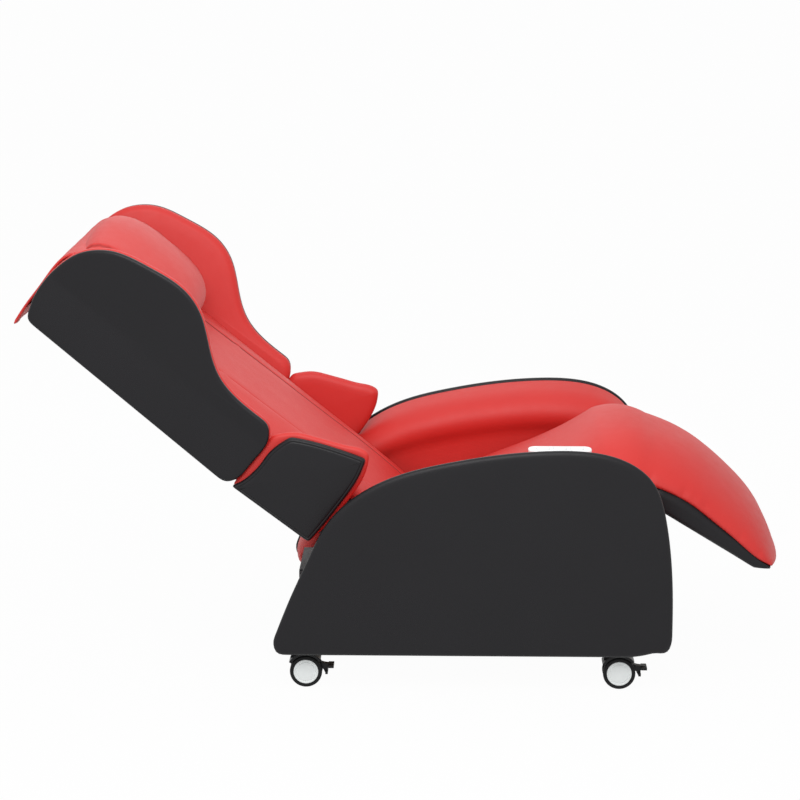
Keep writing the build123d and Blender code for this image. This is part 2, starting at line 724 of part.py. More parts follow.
with BuildPart() as footrest_cover:
    seam = leg_seam_points()
    toe, heel = [(along * leg_length, leg_low) for along, up in leg_toe_shares]
    with BuildSketch(leg_plane()):
        with BuildLine():
            Spline(seam)
            Line(seam[-1], toe)
            Line(toe, heel)
            Line(heel, seam[0])
        make_face()
    extrude(amount=leg_half_width - leg_tuck / 2, both=True)
    with BuildSketch(leg_plane()):
        with BuildLine():
            Polyline((heel[0] + leg_tray_wall, leg_low + leg_tray_wall),
                     (toe[0] - leg_tray_wall, leg_low + leg_tray_wall),
                     (toe[0] - leg_tray_wall, leg_low + leg_seam_height * 2),
                     (heel[0] + leg_tray_wall, leg_low + leg_seam_height * 2), close=True)
        make_face()
    extrude(amount=leg_half_width - leg_tuck / 2 - leg_tray_wall, both=True, mode=Mode.SUBTRACT)
    with BuildSketch(leg_plane()):
        with Locations((leg_heel_cut / 2, leg_board_low / 2)):
            Rectangle(leg_heel_cut, leg_board_low)
    extrude(amount=leg_bore_y + soft_gap, both=True, mode=Mode.SUBTRACT)
save("footrest_cover", footrest_cover.part)

with BuildPart() as footrest_cushion:
    slices = []
    for along, wide, low, edge, crest in leg_section_shares:
        slices.append(crowned_section(leg_section(along * leg_length), leg_half_width * wide,
                                      low * leg_crest, edge * leg_crest, crest * leg_crest, leg_tuck))
    loft(sections=slices)
    revolve(knee_profile(0.0, knee_inner_radius + soft_gap), axis=knee_axis,
            revolution_arc=knee_roll_reach)
    seam = leg_seam_points()
    with BuildSketch(leg_plane()):
        with BuildLine():
            Spline([(x, z + soft_gap) for x, z in seam])
            Polyline((seam[-1][0], seam[-1][1] + soft_gap), (seam[-1][0], 0), (seam[0][0], 0),
                     (seam[0][0], seam[0][1] + soft_gap))
        make_face()
    extrude(amount=leg_half_width + overrun, both=True, mode=Mode.SUBTRACT)
save("footrest_cushion", footrest_cushion.part)

crank_swing = leg_travel / 2
rib_setback = 10.0
leg_crank_angle = leg_slope + seat_slope - 90.0 + crank_swing
with BuildPart() as footrest_frame:
    with BuildSketch(leg_plane(leg_bore_y)):
        Circle(torque_tube_radius)
    extrude(amount=2 * leg_bore_y)
    for side in (-1, 1):
        with BuildSketch(leg_plane(side * leg_bore_y)):
            Circle(pin_radius + bore_clearance)
        extrude(amount=side * (pin_grip + bore_clearance), mode=Mode.SUBTRACT)
    for side in (-1, 1):
        with BuildSketch(leg_plane(side * side_arm_y)):
            with BuildLine():
                Polyline((0, torque_tube_radius + weld_gap),
                         (torque_tube_radius * 2, leg_low + leg_tray_wall + weld_gap),
                         (side_arm_reach, leg_low + leg_tray_wall + weld_gap),
                         (side_arm_reach, side_arm_low + side_arm_depth),
                         (0, side_arm_low + side_arm_depth), close=True)
            make_face()
        extrude(amount=-side * side_arm_thickness)
        with BuildSketch(leg_plane(side * side_arm_y)):
            with BuildLine():
                start = torque_tube_radius + weld_gap
                Line((0, start), (0, knee_inner_radius - knee_plate_thickness - weld_gap))
                rib_radius = knee_inner_radius - knee_plate_thickness - weld_gap
                rib_turn = radians(90.0 + knee_roll_reach - rib_setback)
                rib_half = radians(90.0 + (knee_roll_reach - rib_setback) / 2)
                ThreePointArc((0, rib_radius), (rib_radius * cos(rib_half), rib_radius * sin(rib_half)),
                              (rib_radius * cos(rib_turn), rib_radius * sin(rib_turn)))
                Line((rib_radius * cos(rib_turn), rib_radius * sin(rib_turn)),
                     (start * cos(rib_turn), start * sin(rib_turn)))
                ThreePointArc((start * cos(rib_turn), start * sin(rib_turn)),
                              (start * cos(rib_half), start * sin(rib_half)), (0, start))
            make_face()
        extrude(amount=-side * side_arm_thickness)
    with BuildSketch(leg_plane()):
        with BuildLine():
            roll_turn = radians(90.0 + knee_roll_reach)
            roll_half = radians(90.0 + knee_roll_reach / 2)
            inner = knee_inner_radius - knee_plate_thickness
            ThreePointArc((0, knee_inner_radius),
                          (knee_inner_radius * cos(roll_half), knee_inner_radius * sin(roll_half)),
                          (knee_inner_radius * cos(roll_turn), knee_inner_radius * sin(roll_turn)))
            Line((knee_inner_radius * cos(roll_turn), knee_inner_radius * sin(roll_turn)),
                 (inner * cos(roll_turn), inner * sin(roll_turn)))
            ThreePointArc((inner * cos(roll_turn), inner * sin(roll_turn)),
                          (inner * cos(roll_half), inner * sin(roll_half)), (0, inner))
            Line((0, inner), (0, knee_inner_radius))
        make_face()
    extrude(amount=knee_plate_y, both=True)
    for on in (torque_tube_radius * 4, side_arm_reach - side_arm_depth / 2):
        with BuildSketch(leg_plane()):
            with Locations((on, side_arm_low + side_arm_depth / 2)):
                Rectangle(side_arm_depth, side_arm_depth)
        extrude(amount=side_arm_y - weld_gap, both=True)
    add(crank(leg_plane(crank_y), leg_crank_angle))
save("footrest_frame", footrest_frame.part)

# Backrest: steel frame, a rear pan, a red cushion with a seam along each side of its middle.
# Heights up the back count from the hinge, depths from its middle plane out of the front.
back_side_gap = 82.0
waist_side_gap = 20.0
back_half_width = arm_outer_y - back_side_gap
waist_half_width = arm_inner_y - waist_side_gap
back_length = 1000.0
back_shoulder = 240.0
back_rear = -110.0
pan_wall = 6.0
pan_heel = 24.0
pan_heel_rear = -48.0
seam_inset = 20.0
seam_y = waist_half_width - seam_inset
seam_depth = 5.0
back_tuck = 8.0
back_tube_inset = 28.0
back_tube_y = waist_half_width - back_tube_inset
back_tube_width = 25.0
back_tube_start = torque_tube_radius + soft_gap
back_cross_shares = [0.055, 0.7, 0.955]
back_cross_up = [share * back_length for share in back_cross_shares]
roll_radius = 33.0
roll_inner_radius = 17.0
roll_end_height = 8.0
upper_depth = 42.0
# Upper cushion: share of its height, then of its depth at its sides and at its crest
upper_section_shares = [
    (0.0, 0.762, 0.857), (0.15, 0.786, 1.0), (0.38, 0.786, 1.0), (0.52, 0.405, 0.62),
    (0.97, 0.405, 0.571), (1.0, 0.405, 0.476)]


def quilted_section(plane, half_width, edge, crest):
    """Cross-section of the back cushion: three lobes with a seam's groove between them."""
    foot = half_width - back_tuck
    groove = edge - seam_depth * edge / roll_radius
    with BuildSketch(plane) as section:
        with BuildLine():
            Line((-foot, 0), (foot, 0))
            ThreePointArc((foot, 0), (half_width, edge / 2), (foot, edge))
            ThreePointArc((foot, edge), ((foot + seam_y) / 2, (edge + crest) / 2), (seam_y, groove))
            ThreePointArc((seam_y, groove), (0, crest), (-seam_y, groove))
            ThreePointArc((-seam_y, groove), (-(foot + seam_y) / 2, (edge + crest) / 2), (-foot, edge))
            ThreePointArc((-foot, edge), (-half_width, edge / 2), (-foot, 0))
        make_face()
    return section.sketch


def upper_slices(grow):
    """Cross-sections of the upper cushion, its front moved out by the given gap."""
    slices = []
    for along, edge, crest in upper_section_shares:
        up = back_shoulder + along * (back_length - back_shoulder)
        slices.append(quilted_section(back_section(up), back_half_width, edge * upper_depth + grow,
                                      crest * upper_depth + grow))
    return slices


with BuildPart() as back_cushion:
    loft(sections=upper_slices(0.0), ruled=True)
    with BuildSketch(back_plane()):
        with BuildLine():
            end_up = -sqrt(roll_radius ** 2 - roll_end_height ** 2)
            inner_end_up = -sqrt(roll_inner_radius ** 2 - roll_end_height ** 2)
            bend = cos(radians(45))
            Line((0, roll_radius), (back_shoulder, roll_radius))
            Polyline((back_shoulder, roll_radius), (back_shoulder, 0), (pan_heel, 0),
                     (pan_heel, roll_inner_radius), (0, roll_inner_radius))
            ThreePointArc((0, roll_inner_radius), (-roll_inner_radius * bend, roll_inner_radius * bend),
                          (inner_end_up, roll_end_height))
            Line((inner_end_up, roll_end_height), (end_up, roll_end_height))
            ThreePointArc((end_up, roll_end_height), (-roll_radius * bend, roll_radius * bend),
                          (0, roll_radius))
        make_face()
    extrude(amount=waist_half_width, both=True)
save("back_cushion", back_cushion.part)


def pan_section(shrink, front):
    """Side outline of the rear pan's lower part, drawn in by its wall for the hollow."""
    with BuildSketch(back_plane()) as section:
        with BuildLine():
            Polyline((pan_heel + shrink, front), (back_shoulder + pan_wall + shrink, front),
                     (back_shoulder + pan_wall + shrink, back_rear + shrink),
                     (back_shoulder, back_rear + shrink),
                     (pan_heel + shrink, pan_heel_rear + shrink), close=True)
        make_face()
    return section.sketch


def pan_shoulder_section(shrink, front):
    """Side outline of the rear pan's upper part."""
    with BuildSketch(back_plane()) as section:
        with BuildLine():
            Polyline((back_shoulder + shrink, front), (back_length - shrink, front),
                     (back_length - shrink, back_rear + shrink),
                     (back_shoulder + shrink, back_rear + shrink), close=True)
        make_face()
    return section.sketch


with BuildPart() as back_cover:
    extrude(pan_section(0.0, -soft_gap), amount=waist_half_width, both=True)
    extrude(pan_shoulder_section(0.0, -soft_gap), amount=back_half_width, both=True)
    extrude(pan_section(pan_wall, overrun), amount=waist_half_width - pan_wall, both=True,
            mode=Mode.SUBTRACT)
    with BuildSketch(back_plane()):
        with Locations((pan_heel + pan_wall, (pan_heel_rear + pan_wall) / 2)):
            Rectangle(2 * (pan_wall + overrun), -pan_heel_rear - pan_wall)
    extrude(amount=waist_half_width - pan_wall, both=True, mode=Mode.SUBTRACT)
    extrude(pan_shoulder_section(pan_wall, overrun), amount=back_half_width - pan_wall, both=True,
            mode=Mode.SUBTRACT)
save("back_cover", back_cover.part)

# Massage carriage inside the back: it runs on two rails, and its shaft turns four rollers
rail_y = 84.0
rail_width = 14.0
rail_depth = 12.0
rail_gap = 0.3
carriage_low = 262.0
carriage_high = 392.0
carriage_rear = -96.0
cheek_y = 66.0
cheek_thickness = 7.0
cheek_top = -12.0
shoe_reach = 14.0
shoe_length = 22.0
shoe_depth = 6.0
shaft_up = 345.0
shaft_depth = -42.0
shaft_radius = 7.0
roller_radius = 30.0
roller_offset = 4.0
roller_width = 15.0
inner_roller_y = 20.0
outer_roller_y = 48.0
knead_motor_radius = 22.0
knead_motor_up = 286.0
knead_motor_half = 42.0

with BuildPart() as back_frame:
    with BuildSketch(back_plane(-tube_end_y)):
        Circle(torque_tube_radius)
    extrude(amount=2 * tube_end_y)
    for side in (-1, 1):
        with BuildSketch(back_plane(side * tube_end_y)):
            Circle(pin_radius + bore_clearance)
        extrude(amount=-side * (pin_grip + bore_clearance), mode=Mode.SUBTRACT)
        with BuildSketch(back_plane(side * back_tube_y)):
            with Locations(((back_tube_start + back_length - 2 * pan_wall) / 2, -tube_side / 2 - soft_gap)):
                Rectangle(back_length - 2 * pan_wall - back_tube_start, tube_side)
        extrude(amount=back_tube_width / 2, both=True)
        for up in back_cross_up[1:]:
            inner = back_tube_y + back_tube_width / 2 + weld_gap
            outer = back_half_width - pan_wall - weld_gap
            with BuildSketch(back_plane(side * inner)):
                with Locations((up, -tube_side / 2 - soft_gap)):
                    Rectangle(back_tube_width, tube_side)
            extrude(amount=side * (outer - inner))
    for up in back_cross_up:
        with BuildSketch(back_plane()):
            with Locations((up, -tube_side / 2 - soft_gap)):
                Rectangle(back_tube_width, tube_side)
        extrude(amount=back_tube_y - back_tube_width / 2 - weld_gap, both=True)
    add(crank(back_plane(-crank_y), 270.0 - back_slope - back_travel / 2))
save("back_frame", back_frame.part)

rails_start = back_cross_up[0] + back_tube_width / 2 + weld_gap
rails_end = back_cross_up[1] - back_tube_width / 2 - weld_gap
with BuildPart() as guide_rails:
    for side in (-1, 1):
        with BuildSketch(back_plane(side * rail_y)):
            with Locations(((rails_start + rails_end) / 2, rail_depth / 2 - tube_side)):
                Rectangle(rails_end - rails_start, rail_depth)
        extrude(amount=rail_width / 2, both=True)
save("guide_rails", guide_rails.part)

with BuildPart() as carriage_chassis:
    with BuildSketch(back_plane()):
        with BuildLine():
            Polyline((carriage_low, carriage_rear), (carriage_high, carriage_rear),
                     (carriage_high, carriage_rear + cheek_thickness),
                     (carriage_low, carriage_rear + cheek_thickness), close=True)
        make_face()
    extrude(amount=cheek_y, both=True)
    for side in (-1, 1):
        with BuildSketch(back_plane(side * cheek_y)):
            with Locations(((carriage_low + carriage_high) / 2, (carriage_rear + cheek_top) / 2)):
                Rectangle(carriage_high - carriage_low, cheek_top - carriage_rear)
            with Locations((shaft_up, shaft_depth)):
                Circle(shaft_radius + bore_clearance, mode=Mode.SUBTRACT)
        extrude(amount=side * cheek_thickness)
        for up in (carriage_low + shoe_length / 2, carriage_high - shoe_length / 2):
            shoe_y = side * (cheek_y + cheek_thickness)
            for depth in (rail_depth - tube_side + rail_gap + shoe_depth / 2,
                          -tube_side - rail_gap - shoe_depth / 2):
                with BuildSketch(back_plane(shoe_y)):
                    with Locations((up, depth)):
                        Rectangle(shoe_length, shoe_depth)
                extrude(amount=side * shoe_reach)
save("carriage_chassis", carriage_chassis.part)

with BuildPart() as knead_shaft:
    with BuildSketch(back_plane()):
        with Locations((shaft_up, shaft_depth)):
            Circle(shaft_radius)
    extrude(amount=cheek_y + cheek_thickness - weld_gap, both=True)
save("knead_shaft", knead_shaft.part)

with BuildPart() as massage_rollers:
    for y, lift in ((inner_roller_y, -roller_offset), (outer_roller_y, roller_offset)):
        for side in (-1, 1):
            with BuildSketch(back_plane(side * y - roller_width / 2)):
                with Locations((shaft_up, shaft_depth + lift)):
                    Circle(roller_radius)
                with Locations((shaft_up, shaft_depth)):
                    Circle(shaft_radius + bore_clearance, mode=Mode.SUBTRACT)
            extrude(amount=roller_width)
save("massage_rollers", massage_rollers.part)

with BuildPart() as knead_motor:
    with BuildSketch(back_plane()):
        with Locations((knead_motor_up, carriage_rear + cheek_thickness + knead_motor_radius)):
            Circle(knead_motor_radius)
    extrude(amount=knead_motor_half, both=True)
save("knead_motor", knead_motor.part)

# Upper wings and lower side flaps: a black outer shell on a red inner pad, on both sides
wing_setin = 40.0
wing_outer_y = arm_outer_y - wing_setin
shell_thickness = 15.0
pad_round = 7.0
shell_round = 4.0
wing_start = 438.0
wing_length = 578.0
wing_rear = -112.0
wing_depth = 268.0
wing_front_shares = [
    (0.946, 0.034), (0.986, 0.19), (1.0, 0.36), (0.979, 0.58), (0.936, 0.765), (0.868, 0.88),
    (0.733, 0.966), (0.571, 1.0), (0.491, 0.945), (0.377, 0.765), (0.28, 0.627), (0.17, 0.575),
    (0.047, 0.578)]
wing_foot_shares = [(0.047, 0.578), (0.008, 0.48), (0.0, 0.25), (0.008, 0.09), (0.036, 0.004)]
flap_start = 237.0
flap_length = 196.0
flap_rear = -112.0
flap_depth = 231.0
flap_foot_shares = [(0.086, 1.0), (0.05, 0.745), (0.03, 0.459), (0.03, 0.212), (0.045, 0.043)]
flap_rear_shares = [(0.19, 0.015), (1.0, 0.0)]
flap_top_shares = [(1.0, 0.0), (0.945, 0.15), (0.924, 0.368), (0.934, 0.494), (0.843, 0.706)]
flap_front_shares = [(0.843, 0.706), (0.6, 0.81), (0.34, 0.9), (0.086, 1.0)]


def wing_point(shares):
    """A place on a wing in the backrest's side view."""
    return (wing_start + shares[0] * wing_length, wing_rear + shares[1] * wing_depth)


def flap_point(shares):
    """A place on a side flap in the backrest's side view."""
    return (flap_start + shares[0] * flap_length, flap_rear + shares[1] * flap_depth)


def wing_outline():
    """Closed outline of a wing as a face."""
    front = [wing_point(shares) for shares in wing_front_shares]
    foot = [wing_point(shares) for shares in wing_foot_shares]
    with BuildLine() as outline:
        Line(foot[-1], front[0])
        Spline(front)
        Spline(foot)
    return make_face(outline.edges())


def flap_outline():
    """Closed outline of a side flap as a face."""
    foot = [flap_point(shares) for shares in flap_foot_shares]
    rear = [flap_point(shares) for shares in flap_rear_shares]
    top = [flap_point(shares) for shares in flap_top_shares]
    front = [flap_point(shares) for shares in flap_front_shares]
    with BuildLine() as outline:
        Spline(foot)
        Polyline(foot[-1], rear[0], rear[1])
        Spline(top)
        Spline(front)
    return make_face(outline.edges())


pad_thickness = wing_outer_y - shell_thickness - back_half_width - soft_gap
for name, outline in (("wing", wing_outline), ("flap", flap_outline)):
    with BuildPart() as shell:
        with BuildSketch(back_plane(-wing_outer_y)):
            outline()
        extrude(amount=shell_thickness)
        fillet(shell.faces().sort_by(Axis.Y)[0].edges(), radius=shell_round)
    save_pair(f"{name}_shell", shell.part)
    with BuildPart() as pad:
        with BuildSketch(back_plane(shell_thickness - wing_outer_y)):
            outline()
        extrude(amount=pad_thickness)
        fillet(pad.faces().sort_by(Axis.Y)[-1].edges(), radius=pad_round)
    save_pair(f"{name}_pad", pad.part)

# Head pillow: a crowned roll between the wings, with a loose drape over the head end
pillow_start = 714.0
pillow_end = back_length - soft_gap
pillow_depth = 113.0
pillow_seat = 14.0
pillow_side_gap = 12.0
pillow_half_width = back_half_width - pillow_side_gap
# Sections: share of the half width, share of the length and of the depth that is left there
pillow_section_shares = [
    (-1.0, 0.62, 0.42), (-0.94, 0.88, 0.7), (-0.86, 0.96, 0.84), (-0.6, 0.99, 0.95), (0.0, 1.0, 1.0),
    (0.6, 0.99, 0.95), (0.86, 0.96, 0.84), (0.94, 0.88, 0.7), (1.0, 0.62, 0.42)]
drape_inset = 16.0
drape_half_width = pillow_half_width - drape_inset
drape_thickness = 8.0
drape_drop = 146.0
drape_stand = 7.0
# Inner side of the drape: how far it stands off the head end, and how far down it hangs
drape_shares = [(-1.23, -0.274), (0.15, -0.137), (0.75, 0.0), (1.0, 0.35), (0.25, 1.0)]


def pillow_section(wide, length_share, depth_share):
    """Side outline of the pillow at a share of its half width."""
    middle = (pillow_start + pillow_end) / 2
    half = length_share * (pillow_end - pillow_start) / 2
    with BuildSketch(back_plane(wide * pillow_half_width)) as section:
        with BuildLine():
            Line((middle - half, pillow_seat), (middle + half, pillow_seat))
            ThreePointArc((middle + half, pillow_seat), (middle, pillow_seat + depth_share * pillow_depth),
                          (middle - half, pillow_seat))
        make_face()
    return section.sketch


with BuildPart() as head_pillow:
    loft(sections=[pillow_section(*row) for row in pillow_section_shares], ruled=True)
    loft(sections=upper_slices(soft_gap), ruled=True, mode=Mode.SUBTRACT)
    inner = [(back_length + out * drape_stand, -down * drape_drop) for out, down in drape_shares]
    outer = [(x + drape_thickness, y) for x, y in inner]
    with BuildSketch(back_plane()):
        with BuildLine():
            Spline(inner)
            Line(inner[-1], outer[-1])
            Spline(outer[::-1])
            Line(outer[0], inner[0])
        make_face()
    extrude(amount=drape_half_width, both=True)
save("head_pillow", head_pillow.part)

# Casters: a plate with a pin under each arm's ends, a fork with a hood, twin wheels, a brake
caster_inset = 60.0
rear_caster_inset = 68.0
front_caster_inset = 109.0
caster_y = arm_outer_y - caster_inset
rear_caster_x = rear_caster_inset - arm_setback
front_caster_x = arm_length - arm_setback - front_caster_inset
caster_trail = 24.0
wheel_radius = 35.0
wheel_width = 11.5
wheel_inner_y = 8.5
hub_radius = 26.0
axle_radius = 4.0
axle_end = 19.8
mount_length = 56.0
mount_width = 50.0
mount_thickness = 3.0
swivel_radius = 5.0
swivel_length = 12.6
swivel_hub_radius = 9.0
swivel_hub_length = 13.0
fork_half_width = 7.7
hood_inner_radius = 36.5
hood_outer_radius = 42.0
hood_half_width = 20.0
hood_turns = [150.0, 90.0, 40.0]
fork_foot = 9.0
lever_slot_rear = 4.0
lever_slot_top = 27.0
lever_half_width = 5.8
lever_pin_radius = 3.0
lever_eye_radius = 7.0
lever_pin_x = 20.0
lever_pin_z = 15.0
# Brake pedal in side view as shares of the wheel's radius from its centre: its body, then its pads
lever_body_shares = [
    (0.514, 0.614), (1.143, 0.429), (1.714, 0.357), (1.714, 0.186), (1.343, 0.114), (1.343, -0.2),
    (1.186, -0.2), (1.057, 0.057), (0.514, 0.243)]
lever_upper_shares = [(1.371, 0.194), (1.714, 0.194), (1.714, 0.354), (1.371, 0.354)]
lever_lower_shares = [(1.189, -0.2), (1.343, -0.2), (1.343, -0.029), (1.189, -0.029)]
lever_pad_half_width = 15.0


def polar(radius, turn):
    """A place at a radius and an angle in degrees."""
    return (radius * cos(radians(turn)), radius * sin(radians(turn)))


def caster_fork(plane):
    """Middle body between the two wheels with hood, axle, pedal pin and swivel hub."""
    with BuildPart() as fork:
        with BuildSketch(plane):
            with BuildLine():
                ThreePointArc(*[polar(hood_outer_radius, turn) for turn in hood_turns])
                Polyline(polar(hood_outer_radius, hood_turns[2]), (fork_foot, -fork_foot),
                         (-fork_foot, -fork_foot), polar(hood_outer_radius, hood_turns[0]))
            make_face()
            with Locations((-caster_trail, wheel_radius - swivel_hub_radius)):
                Rectangle(2 * swivel_hub_radius, 2 * swivel_hub_radius)
        extrude(amount=fork_half_width, both=True)
        with BuildSketch(plane):
            with Locations((lever_slot_rear + hood_outer_radius / 2,
                            lever_slot_top - hood_outer_radius / 2)):
                Rectangle(hood_outer_radius, hood_outer_radius)
        extrude(amount=lever_half_width + soft_gap, both=True, mode=Mode.SUBTRACT)
        with BuildSketch(plane):
            with BuildLine():
                ThreePointArc(*[polar(hood_outer_radius, turn) for turn in hood_turns])
                Line(polar(hood_outer_radius, hood_turns[2]), polar(hood_inner_radius, hood_turns[2]))
                ThreePointArc(*[polar(hood_inner_radius, turn) for turn in hood_turns[::-1]])
                Line(polar(hood_inner_radius, hood_turns[0]), polar(hood_outer_radius, hood_turns[0]))
            make_face()
        extrude(amount=hood_half_width, both=True)
        with BuildSketch(plane):
            Circle(axle_radius)
        extrude(amount=axle_end, both=True)
        with BuildSketch(plane):
            with Locations((lever_pin_x, lever_pin_z)):
                Circle(lever_pin_radius)
        extrude(amount=fork_half_width, both=True)
        top = Plane(origin=plane.from_local_coords((-caster_trail, arm_foot - mount_thickness - soft_gap
                                                    - wheel_radius, 0)))
        with BuildSketch(top):
            Circle(swivel_hub_radius)
        extrude(amount=-swivel_hub_length)
        with BuildSketch(top):
            Circle(swivel_radius + bore_clearance)
        extrude(amount=-swivel_length, mode=Mode.SUBTRACT)
    return fork.part


def twin(plane, outer_radius, inner_radius):
    """Two rings, one on each side of the fork's middle body."""
    with BuildPart() as rings:
        for side in (-1, 1):
            with BuildSketch(plane.offset(side * wheel_inner_y)):
                Circle(outer_radius)
                Circle(inner_radius, mode=Mode.SUBTRACT)
            extrude(amount=side * wheel_width)
    return rings.part


def scaled_to_wheel(shares):
    """Places given as shares of the wheel's radius."""
    return [(x * wheel_radius, z * wheel_radius) for x, z in shares]


def brake_lever(plane):
    """Two-armed pedal in the fork's slot, with a bore for its pin."""
    with BuildPart() as lever:
        with BuildSketch(plane):
            with BuildLine():
                Polyline(*scaled_to_wheel(lever_body_shares), close=True)
            make_face()
            with Locations((lever_pin_x, lever_pin_z)):
                Circle(lever_eye_radius)
                Circle(lever_pin_radius + bore_clearance, mode=Mode.SUBTRACT)
        extrude(amount=lever_half_width, both=True)
        for pad in (lever_upper_shares, lever_lower_shares):
            with BuildSketch(plane):
                with BuildLine():
                    Polyline(*scaled_to_wheel(pad), close=True)
                make_face()
            extrude(amount=lever_pad_half_width, both=True)
    return lever.part


with BuildPart() as caster_plates:
    for x in (rear_caster_x, front_caster_x):
        for y in (-caster_y, caster_y):
            with Locations((middle_x + x - caster_trail, y, arm_foot - weld_gap)):
                Box(mount_length, mount_width, mount_thickness,
                    align=(Align.CENTER, Align.CENTER, Align.MAX))
            with Locations((middle_x + x - caster_trail, y, arm_foot - weld_gap - mount_thickness)):
                Cylinder(swivel_radius, swivel_length, align=(Align.CENTER, Align.CENTER, Align.MAX))
save("caster_plates", caster_plates.part)

for end, x in (("rear", rear_caster_x), ("front", front_caster_x)):
    for hand, y in (("right", -caster_y), ("left", caster_y)):
        wheel_plane = Plane(origin=(middle_x + x, y, wheel_radius), x_dir=(1, 0, 0), z_dir=(0, -1, 0))
        save(f"{end}_{hand}_fork", caster_fork(wheel_plane))
        save(f"{end}_{hand}_tyres", twin(wheel_plane, wheel_radius, hub_radius))
        save(f"{end}_{hand}_hubs", twin(wheel_plane, hub_radius - weld_gap, axle_radius + bore_clearance))
        save(f"{end}_{hand}_brake", brake_lever(wheel_plane))
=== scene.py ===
import math

import bmesh
import bpy
import numpy as np
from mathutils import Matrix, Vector, noise


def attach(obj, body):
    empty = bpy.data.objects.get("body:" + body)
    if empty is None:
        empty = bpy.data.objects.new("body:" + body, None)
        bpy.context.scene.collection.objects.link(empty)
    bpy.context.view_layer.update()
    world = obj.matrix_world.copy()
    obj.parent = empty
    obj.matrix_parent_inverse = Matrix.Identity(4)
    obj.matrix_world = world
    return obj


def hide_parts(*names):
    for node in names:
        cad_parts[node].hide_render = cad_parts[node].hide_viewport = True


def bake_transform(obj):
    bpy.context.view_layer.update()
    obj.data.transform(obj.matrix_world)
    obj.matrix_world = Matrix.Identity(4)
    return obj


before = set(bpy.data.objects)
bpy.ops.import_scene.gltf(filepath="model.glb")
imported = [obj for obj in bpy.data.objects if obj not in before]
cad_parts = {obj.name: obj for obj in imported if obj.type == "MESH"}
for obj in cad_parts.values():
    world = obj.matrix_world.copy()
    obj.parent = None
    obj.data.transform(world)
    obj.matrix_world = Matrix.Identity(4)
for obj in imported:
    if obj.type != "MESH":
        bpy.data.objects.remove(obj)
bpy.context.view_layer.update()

# Studio. A photographer's white room: one pale floor that runs out of sight, even light from
# all round and three soft boxes, and a long lens a little above the arms.
scene = bpy.context.scene
scene.view_settings.view_transform = "Standard"
CHAIR_MIDDLE = Vector((0.0, 0.0, 0.45))
FLOOR_SIZE = 160
FLOOR_DROP = 0.0006
FLOOR_WHITE = 0.97
LAMPS = (("overhead_softbox", 8.0, 2.4, (-0.1, 0.2, 2.7)),
         ("front_softbox", 44.0, 1.6, (-0.1, -2.1, 2.2)),
         ("rear_softbox", 5.0, 1.8, (-0.4, 2.4, 1.9)))
bpy.ops.object.select_all(action="DESELECT")
bpy.ops.object.camera_add(location=(0.0994, -5.121, 1.703),
                          rotation=(math.radians(77.45), 0, math.radians(1.2736)))
camera = bpy.context.object
camera.name = "camera"
camera.data.lens = 104.7
camera.data.sensor_width = 36.0
scene.camera = camera


def lay(tree, kind, inputs=None, **settings):
    """Adds a shader node; an input given as a socket is linked, any other is set."""
    made = tree.nodes.new(kind)
    for key, value in settings.items():
        setattr(made, key, value)
    for key, value in (inputs or {}).items():
        if isinstance(value, bpy.types.NodeSocket):
            tree.links.new(value, made.inputs[key])
        else:
            made.inputs[key].default_value = value
    return made


def seen_directly(tree):
    """1 where the camera, a reflection or a view through glass meets the surface."""
    path = lay(tree, "ShaderNodeLightPath")
    glossy = lay(tree, "ShaderNodeMath", {0: path.outputs["Is Camera Ray"],
                                          1: path.outputs["Is Glossy Ray"]}, operation="MAXIMUM")
    return lay(tree, "ShaderNodeMath", {0: glossy.outputs[0],
                                        1: path.outputs["Is Transmission Ray"]},
               operation="MAXIMUM").outputs[0]


room = bpy.data.worlds.new("white_room")
scene.world = room
room.use_nodes = True
room.node_tree.nodes.clear()
room_light = lay(room.node_tree, "ShaderNodeBackground",
                 {"Color": (0.96, 0.98, 1.0, 1), "Strength": 0.65})
room_white = lay(room.node_tree, "ShaderNodeBackground",
                 {"Color": (1, 1, 1, 1), "Strength": 1.0})
room_mix = lay(room.node_tree, "ShaderNodeMixShader",
               {0: seen_directly(room.node_tree), 1: room_light.outputs[0],
                2: room_white.outputs[0]})
lay(room.node_tree, "ShaderNodeOutputWorld", {"Surface": room_mix.outputs[0]})

for lamp_name, power, size, place in LAMPS:
    aim = (CHAIR_MIDDLE - Vector(place)).to_track_quat("-Z", "Y")
    bpy.ops.object.light_add(type="AREA", location=place, rotation=aim.to_euler())
    lamp = bpy.context.object
    lamp.name = lamp_name
    lamp.data.energy = power
    lamp.data.size = size

bpy.ops.mesh.primitive_plane_add(size=FLOOR_SIZE, location=(0, 0, -FLOOR_DROP))
floor = bpy.context.object
floor.name = "studio_floor"
paper = bpy.data.materials.new("white_paper")
paper.use_nodes = True
paper.node_tree.nodes.clear()
paper_matt = lay(paper.node_tree, "ShaderNodeBsdfDiffuse", {"Color": (0.72, 0.72, 0.72, 1)})
paper_white = lay(paper.node_tree, "ShaderNodeEmission", {"Color": (1, 1, 1, 1), "Strength": 1.0})
paper_share = lay(paper.node_tree, "ShaderNodeMath",
                  {0: seen_directly(paper.node_tree), 1: FLOOR_WHITE}, operation="MULTIPLY")
paper_mix = lay(paper.node_tree, "ShaderNodeMixShader",
                {0: paper_share.outputs[0], 1: paper_matt.outputs[0], 2: paper_white.outputs[0]})
lay(paper.node_tree, "ShaderNodeOutputMaterial", {"Surface": paper_mix.outputs[0]})
floor.data.materials.append(paper)


